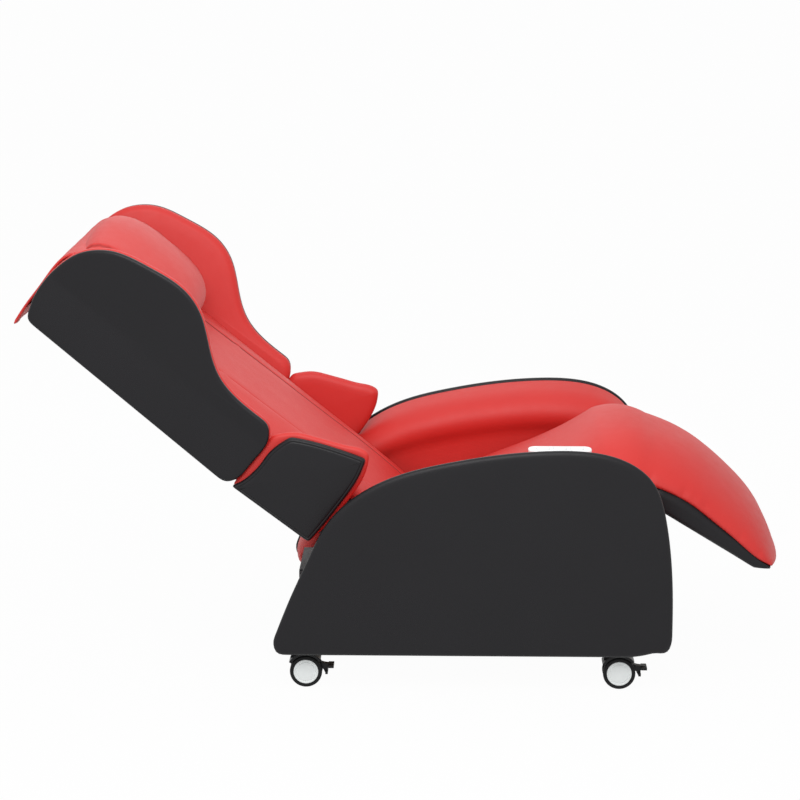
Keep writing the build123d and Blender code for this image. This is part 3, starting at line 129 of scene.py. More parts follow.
# Steel parts. The welded base and the back and footrest frames are tube and plate in black
# powder coat; pins, bolts, rods and shaft are bright zinc, the actuators and motors are cased.
def shader_group(name, inputs, outputs):
    """A new node group with its named inputs and outputs."""
    made = bpy.data.node_groups.new(name, "ShaderNodeTree")
    for socket, default in inputs:
        made.interface.new_socket(socket, in_out="INPUT",
                                  socket_type="NodeSocketFloat").default_value = default
    for socket in outputs:
        made.interface.new_socket(socket, in_out="OUTPUT", socket_type="NodeSocketFloat")
    return made, made.nodes.new("NodeGroupInput"), made.nodes.new("NodeGroupOutput")


speckle, speckle_in, speckle_out = shader_group(
    "speckle", [("Scale", 400.0), ("Patch Scale", 9.0)], ["Fine", "Patch"])
speckle_place = lay(speckle, "ShaderNodeTexCoord")
speckle_fine = lay(speckle, "ShaderNodeTexNoise",
                   {"Vector": speckle_place.outputs["Object"], "Scale": speckle_in.outputs[0],
                    "Detail": 3.0})
speckle_patch = lay(speckle, "ShaderNodeTexNoise",
                    {"Vector": speckle_place.outputs["Object"], "Scale": speckle_in.outputs[1],
                     "Detail": 4.0, "Roughness": 0.6})
speckle.links.new(speckle_fine.outputs[0], speckle_out.inputs["Fine"])
speckle.links.new(speckle_patch.outputs[0], speckle_out.inputs["Patch"])


def mixed(tree, factor, first, second):
    """A colour between two, by a mask."""
    made = lay(tree, "ShaderNodeMix", data_type="RGBA")
    made.inputs[6].default_value = (*first, 1)
    made.inputs[7].default_value = (*second, 1)
    tree.links.new(factor, made.inputs[0])
    return made.outputs[2]


def between(tree, value, low, high):
    """A mask from 0 to 1 moved into a range."""
    return lay(tree, "ShaderNodeMapRange", {"Value": value, "To Min": low, "To Max": high}).outputs[0]


def hard_finish(name, colour, second, roughness, metallic=0.0, grain=400.0, bump=0.00004,
                coat=0.0, shine=0.5):
    """Paint, plating, plastic or wood: a patchy colour, uneven gloss and a fine bump."""
    made = bpy.data.materials.new(name)
    made.use_nodes = True
    tree = made.node_tree
    tree.nodes.clear()
    marks = lay(tree, "ShaderNodeGroup", node_tree=speckle)
    marks.inputs["Scale"].default_value = grain
    raised = lay(tree, "ShaderNodeBump", {"Height": marks.outputs["Fine"], "Distance": bump,
                                          "Strength": 1.0})
    surface = lay(tree, "ShaderNodeBsdfPrincipled",
                  {"Base Color": mixed(tree, marks.outputs["Patch"], colour, second),
                   "Roughness": between(tree, marks.outputs["Patch"], roughness * 0.8,
                                        roughness * 1.2),
                   "Metallic": metallic, "Normal": raised.outputs[0], "Coat Weight": coat,
                   "Specular IOR Level": shine})
    lay(tree, "ShaderNodeOutputMaterial", {"Surface": surface.outputs[0]})
    return made


def finish_nodes(material, *names):
    """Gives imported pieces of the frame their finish."""
    for name in names:
        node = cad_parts[name]
        node.data.materials.clear()
        node.data.materials.append(material)


black_paint = hard_finish("black_powder_coat", (0.018, 0.018, 0.02), (0.026, 0.026, 0.028), 0.42,
                          grain=900.0, bump=0.0001)
bright_zinc = hard_finish("bright_zinc", (0.62, 0.63, 0.65), (0.74, 0.75, 0.76), 0.26,
                          metallic=1.0, grain=700.0)
casing_grey = hard_finish("casing_grey", (0.028, 0.028, 0.03), (0.04, 0.04, 0.043), 0.5,
                          grain=1100.0, bump=0.00008)
finish_nodes(black_paint, "base_frame", "back_frame", "footrest_frame", "carriage_chassis")
finish_nodes(bright_zinc, "caster_plates", "arm_bolts", "hinge_pins", "guide_rails", "knead_shaft",
             "back_actuator_rod", "leg_actuator_rod")
finish_nodes(casing_grey, "power_box", "air_pump", "back_actuator_body", "leg_actuator_body",
             "knead_motor")

# Boards. The seat board and the cores of both arms are birch plywood, cut to shape and bolted
# to the welded base. Their edges stay raw where the leather doesn't reach.
plywood = hard_finish("birch_plywood", (0.5, 0.33, 0.17), (0.62, 0.44, 0.26), 0.6, grain=160.0,
                      bump=0.0002)
finish_nodes(plywood, "seat_board", "arm_cores")

# Power inlet and switch. Both are moulded in black plastic and snap into the rear wall of the
# power box.
black_plastic = hard_finish("black_plastic", (0.010, 0.010, 0.011), (0.015, 0.015, 0.016), 0.36,
                            grain=1000.0, bump=0.00006, shine=0.2)
finish_nodes(black_plastic, "power_inlet", "power_switch")

# Massage rollers. Solid rubber rollers on the kneading shaft, moulded in the same black rubber
# as the casters' treads.
rubber = hard_finish("tyre_rubber", (0.008, 0.008, 0.008), (0.013, 0.013, 0.014), 0.6,
                     grain=900.0, bump=0.0001, shine=0.15)
finish_nodes(rubber, "massage_rollers")

# Arm covers. Each arm's outside is a plywood panel over thin foam in smooth black leather,
# drawn round its edge in a soft fold, with the arm's whole outline.
SIDES = (("right", -1.0), ("left", 1.0))
ARM_REAR = -0.2786
ARM_LENGTH = 0.854
ARM_FOOT = 0.084
ARM_TOP = 0.537
ARM_SPLIT = 0.350
ARM_PLACES = 260
# Outline over the top and back under the foot, in shares of the arm's length and height
ARM_TOP_SHARES = [
    (0.0, 0.07), (0.046, 0.289), (0.0925, 0.483), (0.134, 0.636), (0.194, 0.756), (0.309, 0.876),
    (0.427, 0.936), (0.604, 0.989), (0.693, 1.0), (0.781, 0.996), (0.881, 0.947), (0.94, 0.861),
    (0.978, 0.67), (0.999, 0.282), (1.0, 0.084)]
ARM_FOOT_SHARES = [(0.9945, 0.038), (0.986, 0.022), (0.975, 0.018), (0.957, 0.024), (0.93, 0.009),
                   (0.895, 0.0), (0.019, 0.0), (0.0095, 0.006), (0.0035, 0.02), (0.0005, 0.045)]
GRAIN_DEPTH = 0.00035
GLOSS_SPREAD = 0.06
# Painted shade in the seams: the share of the deep colour that is left where a seam is marked
SEAM_PAINTED_SHADE = 0.22

leather_grain, grain_in, grain_out = shader_group(
    "leather_grain", [("Scale", 640.0)], ["Height", "Tone", "Gloss"])
grain_place = lay(leather_grain, "ShaderNodeTexCoord")
grain_cells = lay(leather_grain, "ShaderNodeTexVoronoi",
                  {"Vector": grain_place.outputs["Object"], "Scale": grain_in.outputs[0]},
                  feature="SMOOTH_F1")
grain_fine = lay(leather_grain, "ShaderNodeTexNoise",
                 {"Vector": grain_place.outputs["Object"], "Scale": 1500.0, "Detail": 2.0})
grain_tone = lay(leather_grain, "ShaderNodeTexNoise",
                 {"Vector": grain_place.outputs["Object"], "Scale": 7.0, "Detail": 5.0,
                  "Roughness": 0.55})
grain_sum = lay(leather_grain, "ShaderNodeMath",
                {0: grain_fine.outputs[0], 1: 0.35, 2: grain_cells.outputs["Distance"]},
                operation="MULTIPLY_ADD")
grain_gloss = lay(leather_grain, "ShaderNodeTexNoise",
                  {"Vector": grain_place.outputs["Object"], "Scale": 45.0, "Detail": 3.0})
leather_grain.links.new(grain_sum.outputs[0], grain_out.inputs["Height"])
leather_grain.links.new(grain_tone.outputs[0], grain_out.inputs["Tone"])
leather_grain.links.new(grain_gloss.outputs[0], grain_out.inputs["Gloss"])


def leather(name, light, deep, roughness, shine):
    """Coated leather: pebbled grain, cloudy colour, and painted shade in the seams that the piece marks.
    """
    made = bpy.data.materials.new(name)
    made.use_nodes = True
    tree = made.node_tree
    tree.nodes.clear()
    grain = lay(tree, "ShaderNodeGroup", node_tree=leather_grain)
    raised = lay(tree, "ShaderNodeBump", {"Height": grain.outputs["Height"],
                                          "Distance": GRAIN_DEPTH, "Strength": 0.6})
    # Painted seam shade: where the piece marks a seam, the colour is darkened towards a share of the deep
    # colour
    seam = lay(tree, "ShaderNodeAttribute", attribute_name="seam")
    cloudy = mixed(tree, grain.outputs["Tone"], deep, light)
    shaded = lay(tree, "ShaderNodeMix", data_type="RGBA")
    tree.links.new(seam.outputs["Fac"], shaded.inputs[0])
    tree.links.new(cloudy, shaded.inputs[6])
    shaded.inputs[7].default_value = (*[share * SEAM_PAINTED_SHADE for share in deep], 1)
    surface = lay(tree, "ShaderNodeBsdfPrincipled",
                  {"Base Color": shaded.outputs[2],
                   "Roughness": between(tree, grain.outputs["Gloss"], roughness - GLOSS_SPREAD,
                                        roughness + GLOSS_SPREAD),
                   "Normal": raised.outputs[0], "Specular IOR Level": shine})
    lay(tree, "ShaderNodeOutputMaterial", {"Surface": surface.outputs[0]})
    return made


black_leather = leather("black_leather", (0.0100, 0.0095, 0.0112), (0.0080, 0.0075, 0.0090),
                        0.42, 0.24)
red_leather = leather("red_leather", (0.64, 0.031, 0.024), (0.58, 0.022, 0.019), 0.53, 0.45)


def drawn_line(points, count):
    """Places spaced evenly along one smooth line through the given points."""
    points = np.array(points, float)
    run = np.concatenate([[0], np.cumsum(np.linalg.norm(np.diff(points, axis=0), axis=1))])
    size = len(points)
    weights, pull = np.eye(size), np.zeros_like(points)
    for i in range(1, size - 1):
        before, after = run[i] - run[i - 1], run[i + 1] - run[i]
        weights[i, i - 1:i + 2] = before, 2 * (before + after), after
        pull[i] = 6 * ((points[i + 1] - points[i]) / after - (points[i] - points[i - 1]) / before)
    bend = np.linalg.solve(weights, pull)
    at = np.linspace(0, run[-1], count)
    i = np.clip(np.searchsorted(run, at, side="right") - 1, 0, size - 2)
    span = (run[i + 1] - run[i])[:, None]
    left, right = (run[i + 1] - at)[:, None], (at - run[i])[:, None]
    return ((bend[i] * left ** 3 + bend[i + 1] * right ** 3) / (6 * span)
            + (points[i] / span - bend[i] * span / 6) * left
            + (points[i + 1] / span - bend[i + 1] * span / 6) * right)


def even_loop(points, count, rounds):
    """Evenly spaced places round a closed outline, its corners rounded by that many passes."""
    points = np.vstack([points, points[:1]])
    run = np.concatenate([[0], np.cumsum(np.linalg.norm(np.diff(points, axis=0), axis=1))])
    at = np.linspace(0, run[-1], count, endpoint=False)
    loop = np.column_stack([np.interp(at, run, points[:, k]) for k in range(2)])
    for _ in range(rounds):
        loop = loop / 2 + (np.roll(loop, 1, 0) + np.roll(loop, -1, 0)) / 4
    turned = loop[:, 0] * np.roll(loop[:, 1], -1) - np.roll(loop[:, 0], -1) * loop[:, 1]
    return loop if turned.sum() > 0 else loop[::-1]


def inward(loop):
    """The direction into the outline at each of its places."""
    along = np.roll(loop, -1, 0) - np.roll(loop, 1, 0)
    along /= np.linalg.norm(along, axis=1)[:, None]
    return np.column_stack([-along[:, 1], along[:, 0]])


def drawn_in(loop, inset):
    """An outline moved inwards, eased so that its corners never cross themselves."""
    moved = loop + inward(loop) * inset
    for _ in range(int(1200 * abs(inset))):
        moved = moved / 2 + (np.roll(moved, 1, 0) + np.roll(moved, -1, 0)) / 4
    return moved


def sewn_skin(name, rings, material, seams=None, hemmed=False):
    """One closed skin over rows of places, shut by a fan or a flat hem at each end, seams marked for
    painted shade.
    """
    rings = np.array(rings, float)
    rows, count, _ = rings.shape
    places = rings.reshape(-1, 3)
    faces = [(r * count + i, r * count + (i + 1) % count, (r + 1) * count + (i + 1) % count,
              (r + 1) * count + i) for r in range(rows - 1) for i in range(count)]
    last = (rows - 1) * count
    if hemmed:
        for start in (0, last):
            faces += [(start + i, start + i + 1, start + count - 2 - i, start + count - 1 - i)
                      for i in range(count // 2 - 1)]
    else:
        places = np.vstack([places, rings[0].mean(0), rings[-1].mean(0)])
        faces += [(rows * count, (i + 1) % count, i) for i in range(count)]
        faces += [(rows * count + 1, last + i, last + (i + 1) % count) for i in range(count)]
    mesh = bpy.data.meshes.new(name)
    mesh.from_pydata(places.tolist(), [], faces)
    # The seam marks go into the point attribute that the leather reads for its painted seam shade
    if seams is not None:
        marks = np.concatenate([np.array(seams, float).reshape(-1), [0, 0]])
        mesh.attributes.new("seam", "FLOAT", "POINT").data.foreach_set("value", marks)
    shape = bmesh.new()
    shape.from_mesh(mesh)
    bmesh.ops.recalc_face_normals(shape, faces=shape.faces)
    shape.to_mesh(mesh)
    shape.free()
    mesh.polygons.foreach_set("use_smooth", [True] * len(mesh.polygons))
    mesh.materials.append(material)
    piece = bpy.data.objects.new(name, mesh)
    scene.collection.objects.link(piece)
    return piece


def to_middle(loop, middle, depth, crown):
    """Rows from an outline in to its middle, over a crown."""
    shares = [1 - (step / 7) ** 0.9 for step in range(1, 7)] + [0.02]
    return [(middle + (loop - middle) * share, np.full(len(loop), depth + crown * (1 - share ** 2.2)))
            for share in shares]


def panel(name, loop, middle, front, back, crowns, place, material, shaded_seam_rows=()):
    """A padded panel. front and back are rows of inset and depth from the edge to the middle."""
    halves = []
    for rows, crown in zip((front, back), crowns):
        half = [(drawn_in(loop, inset), np.full(len(loop), depth)) for inset, depth in rows]
        half += to_middle(half[-1][0], middle, rows[-1][1], crown)
        halves.append(half)
    flat = halves[0][::-1] + halves[1]
    # The rows listed for a seam get a mark of painted seam shade
    marks = np.zeros((len(flat), len(loop)))
    for row, mark in shaded_seam_rows:
        marks[len(halves[0]) - 1 - row] = mark
    rings = [place(ring[:, 0], ring[:, 1], depth) for ring, depth in flat]
    return sewn_skin(name, rings, material, marks)


def arm_loop():
    """The arm's outline from the side, along and up."""
    top, under = [[(ARM_REAR + along * ARM_LENGTH, ARM_FOOT + up * (ARM_TOP - ARM_FOOT))
                   for along, up in shares] for shares in (ARM_TOP_SHARES, ARM_FOOT_SHARES)]
    return even_loop(np.vstack([drawn_line(top, 200), under]), ARM_PLACES, 1)


# Rows from the edge to the middle: inset from the outline, and depth out from the split
cover_front = [(0.0, 0.0215), (0.0006, 0.0245), (0.0024, 0.0270), (0.0054, 0.0288), (0.0090, 0.0297),
               (0.0135, 0.0302), (0.0200, 0.0306), (0.0320, 0.0311)]
cover_back = [(0.0002, 0.0185), (0.0016, 0.0160), (0.0045, 0.0148), (0.0120, 0.0143), (0.0136, 0.0120),
              (0.0140, 0.0040), (0.0145, 0.0002), (0.0300, 0.0001)]
arm_middle = np.array([0.16, 0.29])
for hand, side in SIDES:
    arm_cover = panel(f"{hand}_arm_leather", arm_loop(), arm_middle, cover_front,
                      cover_back, (0.0012, 0.0),
                      lambda x, z, w: np.column_stack([x, side * (ARM_SPLIT + w), z]),
                      black_leather)
    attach(arm_cover, "base")
    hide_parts(f"{hand}_arm_cover")

# Arm pads. Inside each cover a thick foam pad in red leather laps over the cover's inner edge
# and leaves a narrow black rim. Its top rolls inwards; the right one has a pocket for the pod.
POD_MIDDLE = np.array([0.3319, -0.3225])
POD_HALF = np.array([0.062, 0.0195])
POD_SEAT = 0.5125
PAD_FOOT = 0.0993
REAR_DIP = 0.030
REAR_DIP_FROM = -0.240
REAR_DIP_RUN = 0.012
PAD_FLOOR = 0.0003
# Rows from the edge to the middle: depth in from the split and drop at the top, then depth in
# and inset at the sides
ARM_ROWS = [
    (-0.0005, 0.0131, -0.0005, 0.0131), (-0.0105, 0.0128, -0.0105, 0.0128),
    (-0.0132, 0.0112, -0.0132, 0.0112), (-0.0138, 0.0084, -0.0138, 0.0084),
    (-0.0128, 0.0058, -0.0128, 0.0060), (-0.0100, 0.0046, -0.0100, 0.0046),
    (-0.0050, 0.0052, -0.0050, 0.0042), (0.0010, 0.0064, 0.0010, 0.0042),
    (0.0080, 0.0080, 0.0080, 0.0044), (0.0160, 0.0100, 0.0160, 0.0048), (0.0300, 0.0134, 0.0300, 0.0060),
    (0.0450, 0.0178, 0.0420, 0.0086), (0.0600, 0.0246, 0.0540, 0.0126), (0.0720, 0.0337, 0.0630, 0.0184),
    (0.0810, 0.0445, 0.0690, 0.0252), (0.0870, 0.0560, 0.0730, 0.0330), (0.0895, 0.0680, 0.0750, 0.0410),
    (0.0890, 0.0800, 0.0755, 0.0480), (0.0855, 0.0910, 0.0753, 0.0550), (0.0805, 0.1000, 0.0751, 0.0610),
    (0.0770, 0.1090, 0.0750, 0.0670), (0.0755, 0.1210, 0.0750, 0.0730)]
for hand, side in SIDES:
    loop = arm_loop()
    foot = PAD_FOOT - REAR_DIP * np.clip((REAR_DIP_FROM - loop[:, 0]) / REAR_DIP_RUN, 0, 1)
    loop = even_loop(np.column_stack([loop[:, 0], np.maximum(loop[:, 1], foot)]), ARM_PLACES, 3)
    into = inward(loop)
    upward = np.clip(-into[:, 1], 0, 1) ** 0.8
    downward = np.clip(into[:, 1], 0, 1)
    half = []
    for top_depth, top_drop, side_depth, side_inset in ARM_ROWS:
        depth = side_depth + (top_depth - side_depth) * upward
        depth = np.where(depth < 0, depth * np.clip(1 - 3 * downward, 0, 1), depth)
        inset = side_inset * (1 - 0.65 * downward) * (1 - upward)
        drop = np.outer(top_drop * upward, [0, 1])
        half.append((loop + into * inset[:, None] - drop, depth))
    half += to_middle(half[-1][0], arm_middle - np.array([0, 0.02]), 0.075, 0.0)
    back_rows = [(drawn_in(loop, inset), np.full(len(loop), PAD_FLOOR)) for inset in (0.0150, 0.03)]
    back_rows += to_middle(back_rows[-1][0], arm_middle, PAD_FLOOR, 0.0)
    rings = []
    for ring, depth in half[::-1] + back_rows:
        wave = np.array([noise.noise(Vector((x * 11, side * 3, z * 11))) for x, z in ring])
        out = side * (ARM_SPLIT - depth * (1 + 0.012 * wave))
        in_pocket = np.all(np.abs(np.column_stack([ring[:, 0], out]) - POD_MIDDLE) < POD_HALF, axis=1)
        height = np.where(in_pocket, np.minimum(ring[:, 1], POD_SEAT), ring[:, 1])
        rings.append(np.column_stack([ring[:, 0], out, height]))
    arm_pad = sewn_skin(f"{hand}_arm_cushion", rings, red_leather)
    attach(arm_pad, "base")
    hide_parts(f"{hand}_arm_pad")

# Control pod. A glossy white moulding sits in the right arm pad's pocket and holds three push
# buttons in a paler, satin plastic.
white_gloss = hard_finish("white_gloss", (0.86, 0.87, 0.88), (0.92, 0.93, 0.94), 0.16,
                          grain=300.0, bump=0.00001, coat=0.4)
light_plastic = hard_finish("light_plastic", (0.82, 0.845, 0.83), (0.87, 0.89, 0.88), 0.34,
                            grain=800.0, bump=0.00003)
finish_nodes(white_gloss, "control_pod")
finish_nodes(light_plastic, "recline_button", "massage_button", "footrest_button")

# Seat and footrest cover. One red cover runs over the seat foam, round the knee and down the
# footrest to a full toe. Its rows turn round the knee pivot, and it gathers a little along its side seam.
KNEE = np.array([0.4734, 0.0, 0.388])
SEAT_ON = np.array([0.93544, 0.0, 0.35347])
SEAT_OUT = np.array([-0.35347, 0.0, 0.93544])
LEG_ON = np.array([0.85355, 0.0, -0.52101])
LEG_OUT = np.array([0.52101, 0.0, 0.85355])
# Way along the cover from the knee, half width, underside, edge and crest
SEAT_TABLE = np.array([
    (-0.406, 0.240, 0.0016, 0.0780, 0.1020), (-0.395, 0.247, 0.0016, 0.0780, 0.1090),
    (-0.363, 0.251, 0.0016, 0.0770, 0.1130), (-0.229, 0.251, 0.0016, 0.0740, 0.1180),
    (-0.150, 0.251, 0.0016, 0.0700, 0.1230), (-0.090, 0.251, 0.0018, 0.0690, 0.1290),
    (-0.040, 0.251, 0.0300, 0.0740, 0.1400), (0.0, 0.251, 0.0603, 0.0840, 0.1495)])
LEG_TABLE = np.array([
    (0.0, 0.251, 0.0603, 0.0840, 0.1505), (0.047, 0.252, 0.0716, 0.0930, 0.1605),
    (0.090, 0.252, 0.0773, 0.0970, 0.1650), (0.129, 0.252, 0.0778, 0.0992, 0.1635),
    (0.186, 0.252, 0.0703, 0.0930, 0.1550), (0.251, 0.252, 0.0618, 0.0830, 0.1400),
    (0.296, 0.252, 0.0540, 0.0760, 0.1230), (0.328, 0.251, 0.0500, 0.0700, 0.1060),
    (0.350, 0.249, 0.0500, 0.0655, 0.0890), (0.366, 0.246, 0.0500, 0.0610, 0.0760),
    (0.377, 0.241, 0.0505, 0.0575, 0.0660), (0.384, 0.232, 0.0520, 0.0555, 0.0590)])
EASE_SPAN = 0.022
SHOULDER_RISE = 0.19
SHOULDER_FALL = 0.224
SIDE_TUCK = 0.006
TOE_BOW = 0.031
TOE_BOW_FROM = 0.2
TOE_BOW_RUN = 0.185
CREST_WAVE = 0.0016
# Side, way along, depth and spread of each gather at the side seams
PUCKERS = [(-1, 0.018, 0.0026, 0.006), (-1, 0.098, 0.0030, 0.005), (-1, 0.121, 0.0022, 0.004),
           (-1, 0.152, 0.0018, 0.005), (1, -0.060, 0.0030, 0.008), (1, 0.04, 0.002, 0.006),
           (1, 0.11, 0.0024, 0.005), (-1, 0.26, 0.0016, 0.006), (1, 0.2, 0.0018, 0.006),
           (-1, 0.325, 0.0018, 0.005), (1, 0.31, 0.0016, 0.005)]


def table_row(table, at):
    """Half width, underside, edge and crest of the cover at a way along it, eased over a span."""
    near = np.clip(at + np.linspace(-EASE_SPAN, EASE_SPAN, 9), table[0, 0], table[-1, 0])
    ease = min(at - table[0, 0], table[-1, 0] - at, EASE_SPAN) / EASE_SPAN
    near = at + (near - at) * ease
    return [np.interp(near, table[:, 0], table[:, k]).mean() for k in range(1, 5)]


def cover_section(width, low, edge, crest):
    """Side place and height of each point round the cover's cross-section, full at its shoulders."""
    share = (edge - low) / (crest - low)
    power = math.log(share + (1 - share) * SHOULDER_RISE) / math.log(SHOULDER_FALL)
    turn = np.linspace(0, math.pi, 58)
    across = np.sign(np.cos(turn)) * np.abs(np.cos(turn)) ** 0.8333
    rise = np.abs(1 - np.abs(across) ** 2.4) ** power
    base = low + 0.3 * (edge - low)
    top = np.column_stack([width * across, base + (crest - base) * rise])
    tucked = np.array([[width - SIDE_TUCK, low], [width - SIDE_TUCK / 4, low + 0.12 * (edge - low)]])
    flat_half = width - 2 * SIDE_TUCK
    under = np.column_stack([np.linspace(-flat_half, flat_half, 14), np.full(14, low)])
    return np.vstack([top, (tucked * [-1, 1])[::-1], under, tucked])


stations = []
for at in np.concatenate([[-0.406, -0.402], np.linspace(-0.395, 0.0, 26)]):
    stations.append((KNEE + SEAT_ON * at, SEAT_OUT, SEAT_ON, table_row(SEAT_TABLE, at), at, 0.0))
knee_turn = math.acos(float(SEAT_OUT @ LEG_OUT))
for share in np.linspace(0, 1, 12)[1:-1]:
    tilt = share * knee_turn
    out = SEAT_OUT * math.cos(tilt) + SEAT_ON * math.sin(tilt)
    row = [(1 - share) * a + share * b
           for a, b in zip(table_row(SEAT_TABLE, 0.0), table_row(LEG_TABLE, 0.0))]
    stations.append((KNEE, out, LEG_ON, row, 0.0, 0.0))
for at in np.concatenate([np.linspace(0.0, 0.35, 46),
                          [0.357, 0.363, 0.368, 0.372, 0.376, 0.380, 0.384]]):
    bow = TOE_BOW * np.clip((at - TOE_BOW_FROM) / TOE_BOW_RUN, 0, 1) ** 1.6
    stations.append((KNEE + LEG_ON * at, LEG_OUT, LEG_ON, table_row(LEG_TABLE, at), at, bow))

rings = []
for origin, out, on, (width, low, edge, crest), at, bow in stations:
    section = cover_section(width, low, edge, crest)
    side_share = section[:, 0] / width
    lift = np.clip((section[:, 1] - low) / max(edge - low, 0.004), 0, 3)
    height = section[:, 1].copy()
    across = section[:, 0].copy()
    for side, where, depth, spread in PUCKERS:
        near = math.exp(-((at - where) / spread) ** 2)
        edge_mask = np.clip(side * side_share, 0, 1) ** 14 * np.exp(-((lift - 0.8) / 1.1) ** 2)
        across -= side * depth * near * edge_mask * 1.4
        height -= depth * near * edge_mask * 0.7
    ring = origin + np.outer(height, out) + np.outer(across, [0, 1, 0])
    ring -= np.outer(bow * np.abs(side_share) ** 2.3, on)
    wave = np.array([noise.noise(Vector(spot * 9)) for spot in ring])
    rings.append(ring + np.outer(CREST_WAVE * wave * np.clip(lift, 0, 1), out))
first_middle, last_middle = rings[0].mean(0), rings[-1].mean(0)
rear_rings = [first_middle + (rings[0] - first_middle) * [s, 0.97 * s, s] - SEAT_ON * 0.004 * (1 - s)
              for s in (0.35, 0.7, 0.92)]
toe_rings = [last_middle + (rings[-1] - last_middle) * s + LEG_ON * 0.002 * (1 - s)
             for s in (0.9, 0.6, 0.25)]
rings = rear_rings + rings + toe_rings
seat_cover = sewn_skin("seat_and_footrest_cover", rings, red_leather)
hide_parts("seat_cushion", "footrest_cushion")
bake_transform(seat_cover)


# Footrest tray. Under the footrest a black leather tray with soft edges hides the steel frame;
# the red cover is sewn to its rim along the sides and the toe.
def channel_section(half_width, rim, low, wall, round_off):
    """Round a U-shaped wall: side place and height, outside down and back up the inside."""
    turns = np.linspace(0, math.pi / 2, 5)
    inside_round = max(round_off - wall, 0.001)
    outer, inner = [], []
    for radius, width, foot, rows in ((round_off, half_width, low, outer),
                                      (inside_round, half_width - wall, low + wall, inner)):
        rows.append((width, rim))
        rows.append((width, (rim + foot + radius) / 2))
        rows.extend((width - radius * (1 - math.cos(t)), foot + radius * (1 - math.sin(t)))
                    for t in turns)
        rows.extend((width * share, foot) for share in (0.6, 0.2))
    outer = np.array(outer)
    inner = np.array(inner)
    flip = np.array([-1, 1])
    return np.vstack([outer, (outer * flip)[::-1], inner * flip, inner[::-1]])


# Way along the footrest and height of the seam that joins tray and cover
LEG_SEAM = np.array([(0.0463, 0.0713), (0.0902, 0.0770), (0.1294, 0.0775), (0.1862, 0.0700),
                     (0.2509, 0.0615), (0.3175, 0.0500), (0.3489, 0.0500)])
TRAY_LOW = 0.0288
TRAY_HALF_WIDTH = 0.2490
TRAY_WALL = 0.0042
TRAY_CORNER = 0.012
TOE_WALL = 0.0045
tray_rings = []
for share in np.concatenate([[0, 0.006, 0.02], np.linspace(0.05, 0.86, 20),
                             [0.9, 0.94, 0.97, 0.99, 1.0]]):
    at = LEG_SEAM[0, 0] + share * (LEG_SEAM[-1, 0] - LEG_SEAM[0, 0])
    rim = float(np.interp(at, *LEG_SEAM.T))
    low = TRAY_LOW + (rim - TOE_WALL - TRAY_LOW) * max(0.0, (share - 0.895) / 0.105) ** 1.1
    toe_pull = 0.004 * max(0.0, (share - 0.94) / 0.06) ** 2
    width = TRAY_HALF_WIDTH - toe_pull - 0.002 * max(0, 1 - share / 0.02)
    section = channel_section(width, rim, low, TRAY_WALL, min(TRAY_CORNER, (rim - low) * 0.42))
    tray_rings.append(KNEE + LEG_ON * at + np.outer(section[:, 0], [0, 1, 0])
                      + np.outer(section[:, 1], LEG_OUT))
footrest_tray = sewn_skin("footrest_tray", tray_rings, black_leather)
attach(footrest_tray, "footrest")
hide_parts("footrest_cover")

# Back cushion. A long red cushion over the massage opening, fuller in the lumbar part and rolled
# under at the seat. A seam near each side joins its middle panel to a slightly prouder border.
HINGE = np.array([0.0404, 0.0, 0.260])
BACK_UP = np.array([-0.77162, 0.0, 0.63608])
BACK_OUT = np.array([0.63608, 0.0, 0.77162])
BACK_HALF_WIDTH = 0.2975
WAIST_HALF_WIDTH = 0.240
WAIST_TOP = 0.2395
BACK_SEAM = 0.160
SEAM_DEPTH = 0.0032
SEAM_BREAK = 0.585
BORDER_RISE = 0.0014
BORDER_EDGE = 0.0105
FRAME_CLEAR = 0.0172
ROLL_TOP = 0.0320
LUMBAR_WAVE = 0.0017
# Way up the back from its hinge, and the cushion's height over the frame
BACK_TABLE = np.array([(0.0, 0.0325), (0.07, 0.0335), (0.13, 0.0368), (0.25, 0.0372), (0.40, 0.0332),
                       (0.53, 0.0302), (0.64, 0.0276), (0.80, 0.0250), (0.977, 0.0240), (0.992, 0.0200)])
# Places either side of the seam, closer together towards it
SEAM_STEPS = np.array([0, 0.0009, 0.0018, 0.0035, 0.0070, 0.014])


def on_back(up, out, across):
    """Places on the backrest, from their way up, out of and across it."""
    return HINGE + np.outer(up, BACK_UP) + np.outer(out, BACK_OUT) + np.outer(across, [0, 1, 0])


def back_row(half_width, low, top, groove):
    """Side places and heights round the back cushion's cross-section, with its marks of painted seam
    shade.
    """
    across = np.concatenate([np.linspace(0, BACK_SEAM - 0.026, 10), BACK_SEAM - SEAM_STEPS[::-1],
                             BACK_SEAM + SEAM_STEPS[1:],
                             np.linspace(BACK_SEAM + 0.026, half_width - 0.0045, 12)])
    off = np.abs(across - BACK_SEAM)
    beyond = np.clip((across - BACK_SEAM) / 0.1375, 0, 1)
    shoulder = (1 - (1 - np.clip((half_width - across) / 0.02, 0, 1)) ** 2.6) ** 0.45
    height = top + 0.0015 * np.clip(1 - (across / BACK_SEAM) ** 2, 0, 1) + BORDER_RISE * (beyond > 0)
    height = (height - (top - BORDER_EDGE) * beyond ** 1.6) * (0.45 + 0.55 * shoulder)
    height -= groove * np.exp(-off / 0.0050)
    rise = height[-1] - low
    side = np.array([(half_width - 0.0008, low + 0.62 * rise), (half_width - 0.001, low + 0.35 * rise),
                     (half_width - 0.008, low)])
    under = np.column_stack([np.linspace(half_width - 0.02, 0.02, 6), np.full(6, low)])
    right = np.vstack([np.column_stack([across, height]), side, under])
    # Painted shade along the seam: a mark that fades within a few millimetres of it and grows with the
    # groove's depth
    mark = np.concatenate([np.clip(1.8 - off / 0.0009, 0, 1) * min(1, groove / 0.003), np.zeros(9)])
    return (np.vstack([right, (right * [-1, 1])[::-1][:-1]]), np.concatenate([mark, mark[::-1][:-1]]))


